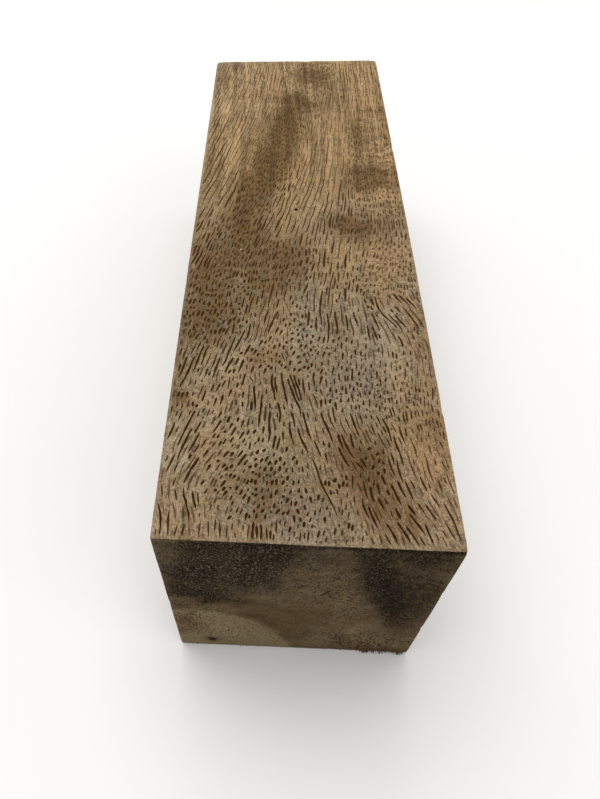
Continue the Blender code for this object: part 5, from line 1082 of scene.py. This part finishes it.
class Tree:
    """Short names for the nodes that the wood needs."""

    def __init__(self, mat):
        self.t = mat.node_tree
        self.t.nodes.clear()

    def node(self, kind, **settings):
        n = self.t.nodes.new(kind)
        for k, v in settings.items():
            setattr(n, k, v)
        return n

    def put(self, socket, value):
        if hasattr(value, "is_output"):
            self.t.links.new(value, socket)
        elif value is not None:
            socket.default_value = value

    def math(self, op, a, b=None, c=None, clamp=False):
        n = self.node("ShaderNodeMath", operation=op, use_clamp=clamp)
        for s, v in zip(n.inputs, (a, b, c)):
            self.put(s, v)
        return n.outputs[0]

    def add(self, a, b): return self.math("ADD", a, b)
    def sub(self, a, b): return self.math("SUBTRACT", a, b)
    def mul(self, a, b): return self.math("MULTIPLY", a, b)

    def attribute(self, name):
        n = self.node("ShaderNodeAttribute", attribute_name=name)
        return n

    def split(self, vector):
        n = self.node("ShaderNodeSeparateXYZ")
        self.put(n.inputs[0], vector)
        return n.outputs

    def vec(self, x, y, z):
        n = self.node("ShaderNodeCombineXYZ")
        for s, v in zip(n.inputs, (x, y, z)):
            self.put(s, v)
        return n.outputs[0]

    def cloud(self, vector, scale=1.0, detail=2.0, rough=.5, twist=0.0):
        n = self.node("ShaderNodeTexNoise", noise_dimensions="3D")
        self.put(n.inputs["Vector"], vector)
        n.inputs["Scale"].default_value = scale
        n.inputs["Detail"].default_value = detail
        n.inputs["Roughness"].default_value = rough
        n.inputs["Distortion"].default_value = twist
        return n.outputs["Fac"]

    def ease(self, value, low, high, to_low=0.0, to_high=1.0, smooth=True):
        n = self.node("ShaderNodeMapRange", interpolation_type="SMOOTHSTEP" if smooth else "LINEAR", clamp=True)
        self.put(n.inputs["Value"], value)
        for s, v in (("From Min", low), ("From Max", high), ("To Min", to_low), ("To Max", to_high)):
            n.inputs[s].default_value = v
        return n.outputs["Result"]

    def mix(self, fac, a, b, kind="MIX"):
        n = self.node("ShaderNodeMix", data_type="RGBA", blend_type=kind, clamp_factor=True)
        self.put(n.inputs[0], fac)
        self.put(n.inputs[6], a)
        self.put(n.inputs[7], b)
        return n.outputs[2]

    def scale_colour(self, colour, factor):
        n = self.node("ShaderNodeVectorMath", operation="SCALE")
        self.put(n.inputs[0], colour)
        self.put(n.inputs["Scale"], factor)
        return n.outputs[0]


def wood_material():
    mat = bpy.data.materials.new("stabilized_mango_wood")
    mat.use_nodes = True
    T = Tree(mat)
    tone = T.split(T.attribute("tone").outputs["Vector"])
    tint = T.split(T.attribute("tint").outputs["Vector"])
    grain = T.split(T.attribute("grain").outputs["Vector"])
    vessel = T.split(T.attribute("pore").outputs["Vector"])
    pore, strength = vessel[0], vessel[1]
    end = T.attribute("end").outputs["Fac"]
    where = T.node("ShaderNodeTexCoord").outputs["Object"]     # metres
    mm = T.node("ShaderNodeVectorMath", operation="SCALE")
    T.put(mm.inputs[0], where)
    mm.inputs["Scale"].default_value = 1000.0
    mm = mm.outputs[0]
    dark, gold, grey = tone[0], tone[1], tone[2]
    rust, ripple_sheen, run = tint[0], tint[1], tint[2]
    U, S, face = grain[0], grain[1], grain[2]

    # noise along the fibres, from broad stripes to short flecks, and noise with no direction
    away = T.ease(S, 48.0, 84.0)                   # the figure is plainer and more striped there
    stripe = T.cloud(T.vec(T.mul(U, .85), T.mul(S, .042), face), 1, 3, .55)
    streak = T.cloud(T.vec(T.mul(U, 2.6), T.mul(S, .15), face), 1, 3, .6)
    fibre = T.cloud(T.vec(T.mul(U, 6.5), T.mul(S, .55), face), 1, 2, .6)
    fleck = T.cloud(T.vec(T.mul(U, 4.6), T.mul(S, 1.9), face), 1, 2, .6)
    fine = T.add(T.mul(fibre, run), T.mul(fleck, T.sub(1.0, run)))
    grit = T.cloud(mm, 3.3, 2, .8)
    dust = T.cloud(mm, 1.3, 3, .65)
    mottle = T.cloud(mm, .42, 2, .6)
    broad = T.cloud(mm, .16, 3, .55)
    # the figure's ripples across the fibres, their shimmer painted as bands of sheen and shade
    sheen_wave = T.cloud(T.vec(T.mul(U, .30), T.mul(S, 1.05), T.add(face, 9.0)), 1, 2, .55, .6)

    # -------- along the grain
    c = T.mix(T.ease(broad, .38, .62), linear(150, 134, 109), linear(137, 118, 90))
    c = T.mix(away, c, linear(154, 128, 93))
    c = T.mix(T.ease(S, 84.0, 118.0), c, linear(163, 138, 104))
    c = T.mix(T.mul(grey, .85), c, linear(130, 117, 101))
    c = T.mix(T.mul(gold, .85), c, linear(165, 138, 100))
    c = T.mix(T.mul(rust, .55), c, linear(148, 113, 80))
    ragged = T.add(T.mul(T.sub(dust, .5), 1.6), T.add(T.mul(T.sub(streak, .5), 2.4), T.mul(T.sub(fleck, .5), 1.3)))
    ragged = T.add(ragged, T.mul(T.sub(mottle, .5), 1.4))
    dark_edge = T.ease(T.add(T.mul(dark, 1.2), ragged), .1, 1.0)
    c = T.mix(T.mul(dark_edge, .9), c, linear(93, 71, 43))
    # light and shade, as sums of exponents
    lum = T.mul(T.sub(stripe, .5), T.add(.8, T.mul(away, 1.8)))
    calm = T.sub(1.0, T.mul(away, .55))
    for value, much in ((streak, 2.0), (T.add(T.mul(T.sub(fine, .5), calm), .5), 1.6), (T.add(T.mul(T.sub(grit, .5), calm), .5), 3.2), (dust, 2.15), (mottle, 1.3)):
        lum = T.add(lum, T.mul(T.sub(value, .5), much))
    # painted sheen and shade: bands of the figure's shimmer where it ripples
    lum = T.add(lum, T.mul(T.mul(T.sub(sheen_wave, .5), ripple_sheen), 2.2))
    lum = T.sub(lum, T.mul(T.math("MAXIMUM", T.sub(lum, .12), 0.0), .5))
    c = T.scale_colour(c, T.math("EXPONENT", lum))
    # pale flecks of ray tissue
    c = T.mix(T.mul(T.ease(fleck, .58, .74), .35), c, linear(172, 150, 118))
    # vessels too fine to be cut as pits: faint lines, and dots where the fibres dive
    line = T.math("ABSOLUTE", T.sub(T.cloud(T.vec(T.mul(U, 1.9), T.mul(S, .11), T.add(face, 3.0)), 1, 1, .5), .5))
    gate = T.ease(T.cloud(T.vec(T.mul(U, 1.4), T.mul(S, .32), T.add(face, 5.0)), 1, 1, .5), .42, .58)
    hair = T.mul(T.mul(T.ease(line, .042, .012), gate), run)
    cell = T.node("ShaderNodeTexVoronoi", feature="F1", distance="EUCLIDEAN")
    T.put(cell.inputs["Vector"], T.vec(T.mul(U, 1.5), T.mul(S, 1.0), T.add(face, 7.0)))
    cell.inputs["Scale"].default_value = 1.0
    dot = T.mul(T.ease(cell.outputs["Distance"], .27, .15), T.sub(1.0, run))
    small = T.mul(T.math("MAXIMUM", hair, dot), T.ease(grit, .36, .52))
    c = T.mix(T.mul(small, T.add(.5, T.mul(away, .25))), c, linear(76, 51, 24))

    # -------- across the grain: R from the pith, Q round it
    char_and_shadow, brown, pale = tone[0], tone[1], tone[2]
    torn, heart = tint[0], tint[1]
    at = T.split(mm)
    e_grit = T.cloud(T.vec(T.mul(at[0], 3.4), T.mul(at[1], .4), T.mul(at[2], 1.8)), 1, 3, .75)
    e_tear = T.cloud(T.vec(T.mul(U, 1.7), T.mul(S, .8), face), 1, 2, .6)
    e_ray = T.cloud(T.vec(T.mul(U, .6), T.mul(S, 2.2), face), 1, 2, .6)
    e_blot = T.cloud(mm, .42, 4, .62)
    e = T.mix(T.ease(e_blot, .36, .64), linear(108, 94, 71), linear(95, 79, 56))
    e = T.mix(T.mul(heart, .9), e, linear(130, 114, 86))
    e = T.mix(T.mul(pale, .8), e, linear(126, 108, 83))
    e = T.mix(T.mul(brown, .85), e, linear(80, 55, 29))
    e_break = T.add(T.mul(T.sub(e_grit, .5), T.add(1.8, T.mul(torn, 4.0))), T.mul(T.sub(e_tear, .5), 1.4))
    # charcoal end grain, and on the near end's top edge a painted shadow line
    char_and_shadow_edge = T.ease(T.add(T.mul(char_and_shadow, 1.22), e_break), .04, 1.0)
    e = T.mix(T.mul(char_and_shadow_edge, .97), e, linear(22, 14, 7))
    rough_part = T.add(T.mul(torn, .85), .15)
    e_lum = T.add(T.mul(T.sub(T.ease(e_grit, .36, .64), .5), 2.2), T.mul(T.sub(T.ease(e_tear, .36, .64), .5), .9))
    e_lum = T.mul(T.add(e_lum, T.mul(T.sub(e_ray, .5), 1.6)), rough_part)
    e = T.scale_colour(e, T.math("EXPONENT", e_lum))
    e_spark = T.cloud(T.vec(T.mul(at[0], 5.2), T.mul(at[1], .4), T.mul(at[2], 3.0)), 1, 1, .5)
    specks = T.mul(T.ease(e_spark, .54, .70), T.mul(rough_part, T.add(.2, T.mul(char_and_shadow, .75))))
    e = T.mix(specks, e, linear(118, 108, 92))
    pits = T.mul(T.ease(e_tear, .42, .32), T.mul(rough_part, .5))
    e = T.mix(pits, e, linear(24, 18, 12))

    # one pale chip of filler on the top face
    chip = T.node("ShaderNodeVectorMath", operation="DISTANCE")
    T.put(chip.inputs[0], mm)
    chip.inputs[1].default_value = (8.6 - W / 2, 55.1 - Y_MID, H)
    c = T.mix(T.mul(T.ease(T.add(chip.outputs["Value"], T.mul(T.sub(grit, .5), .6)), .38, .10), .62), c, linear(190, 172, 146))

    c = T.mix(end, c, e)
    # the cut vessels: ragged, darkest down the middle
    uneven = T.add(T.mul(T.sub(grit, .5), 1.1), T.mul(T.sub(dust, .5), .8))
    inner = T.mul(T.ease(T.add(pore, T.mul(uneven, T.ease(pore, .0, .25))), .0, .24), strength)
    halo = T.mul(T.ease(pore, .0, .12), T.add(.3, T.mul(strength, .7)))
    pore_colour = T.mix(T.ease(S, 16.0, 78.0), linear(52, 30, 4), linear(78, 53, 23))
    pore_colour = T.mix(end, pore_colour, linear(20, 13, 7))
    c = T.mix(T.mul(halo, T.sub(.55, T.mul(away, .25))), c, linear(84, 55, 24))
    c = T.mix(T.mul(inner, .96), c, pore_colour)
    # painted shade: near black where the cuts go deepest, filling the pinhole and darkening each vessel along its floor
    # line
    c = T.mix(T.ease(pore, .75, 1.15), c, linear(14, 9, 3))

    rough = T.add(.62, T.mul(T.sub(grit, .5), .22))
    rough = T.add(rough, T.mul(end, .14))
    rough = T.add(rough, T.mul(inner, .14))

    high = T.add(T.mul(fine, .5), T.mul(grit, .5))
    high = T.add(T.mul(high, T.sub(1.0, end)), T.mul(T.mul(T.add(e_grit, T.mul(e_tear, .5)), T.add(.3, torn)), end))
    bump = T.node("ShaderNodeBump")
    bump.inputs["Strength"].default_value = .55
    bump.inputs["Distance"].default_value = .00006
    T.put(bump.inputs["Height"], high)

    shader = T.node("ShaderNodeBsdfPrincipled")
    T.put(shader.inputs["Base Color"], c)
    T.put(shader.inputs["Roughness"], rough)
    T.put(shader.inputs["Normal"], bump.outputs[0])
    shader.inputs["Specular IOR Level"].default_value = .02
    out = T.node("ShaderNodeOutputMaterial")
    T.put(out.inputs["Surface"], shader.outputs[0])
    return mat


# ------------------------------------------------------- floor, light, camera
def studio():
    scene = bpy.context.scene
    scene.view_settings.view_transform = "Standard"
    scene.view_settings.look = "None"
    floor_mesh = bpy.data.meshes.new("floor")
    n = 3.0
    floor_mesh.from_pydata([(-n, -n, 0), (n, -n, 0), (n, n, 0), (-n, n, 0)], [], [(0, 1, 2, 3)])
    floor = bpy.data.objects.new("floor", floor_mesh)
    scene.collection.objects.link(floor)
    paper = bpy.data.materials.new("pale_floor")
    paper.use_nodes = True
    p = paper.node_tree.nodes["Principled BSDF"]
    p.inputs["Base Color"].default_value = (.94, .94, .935, 1)
    p.inputs["Roughness"].default_value = .8
    p.inputs["Specular IOR Level"].default_value = .2
    floor_mesh.materials.append(paper)

    world = bpy.data.worlds.new("studio")
    scene.world = world
    world.use_nodes = True
    bg = world.node_tree.nodes["Background"]
    bg.inputs["Color"].default_value = (1, 1, 1, 1)
    bg.inputs["Strength"].default_value = .52

    def softbox(name, place, target, size, watts, colour=(1, 1, 1)):
        lamp = bpy.data.lights.new(name, "AREA")
        lamp.shape = "SQUARE"
        lamp.size = size
        lamp.energy = watts
        lamp.color = colour
        ob = bpy.data.objects.new(name, lamp)
        ob.location = place
        ob.rotation_euler = (Vector(target) - Vector(place)).to_track_quat("-Z", "Y").to_euler()
        scene.collection.objects.link(ob)
        return ob

    softbox("key", (-.18, .34, 1.1), (0, 0, .02), 1.1, 9.5, (1, .99, .97))
    softbox("fill", (.7, -.5, .8), (0, 0, .02), .7, 1.2, (.98, .99, 1))


def camera():
    scene = bpy.context.scene
    cam = bpy.data.cameras.new("camera")
    cam.sensor_fit = "VERTICAL"
    cam.sensor_height = 36.0
    cam.lens = 635.28 / 799 * 36.0
    cam.shift_x = 16 / 799
    cam.shift_y = 2.5 / 799
    cam.clip_start = .005
    cam.clip_end = 20
    ob = bpy.data.objects.new("camera", cam)
    right = Vector((.999489, .001184, .031933))
    down = Vector((.020464, -.791241, -.611163))
    away = Vector((.024543, .611504, -.790861))
    m = Matrix((right, -down, -away)).transposed().to_4x4()
    m.translation = Vector((-.13766 * W, -.85964 * W - Y_MID, 2.89357 * W)) / 1000
    ob.matrix_world = m
    scene.collection.objects.link(ob)
    scene.camera = ob


block = build_block()
block.data.materials.append(wood_material())
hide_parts("mango_wood_block")
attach(block, "root")
studio()
camera()

bpy.context.view_layer.update()
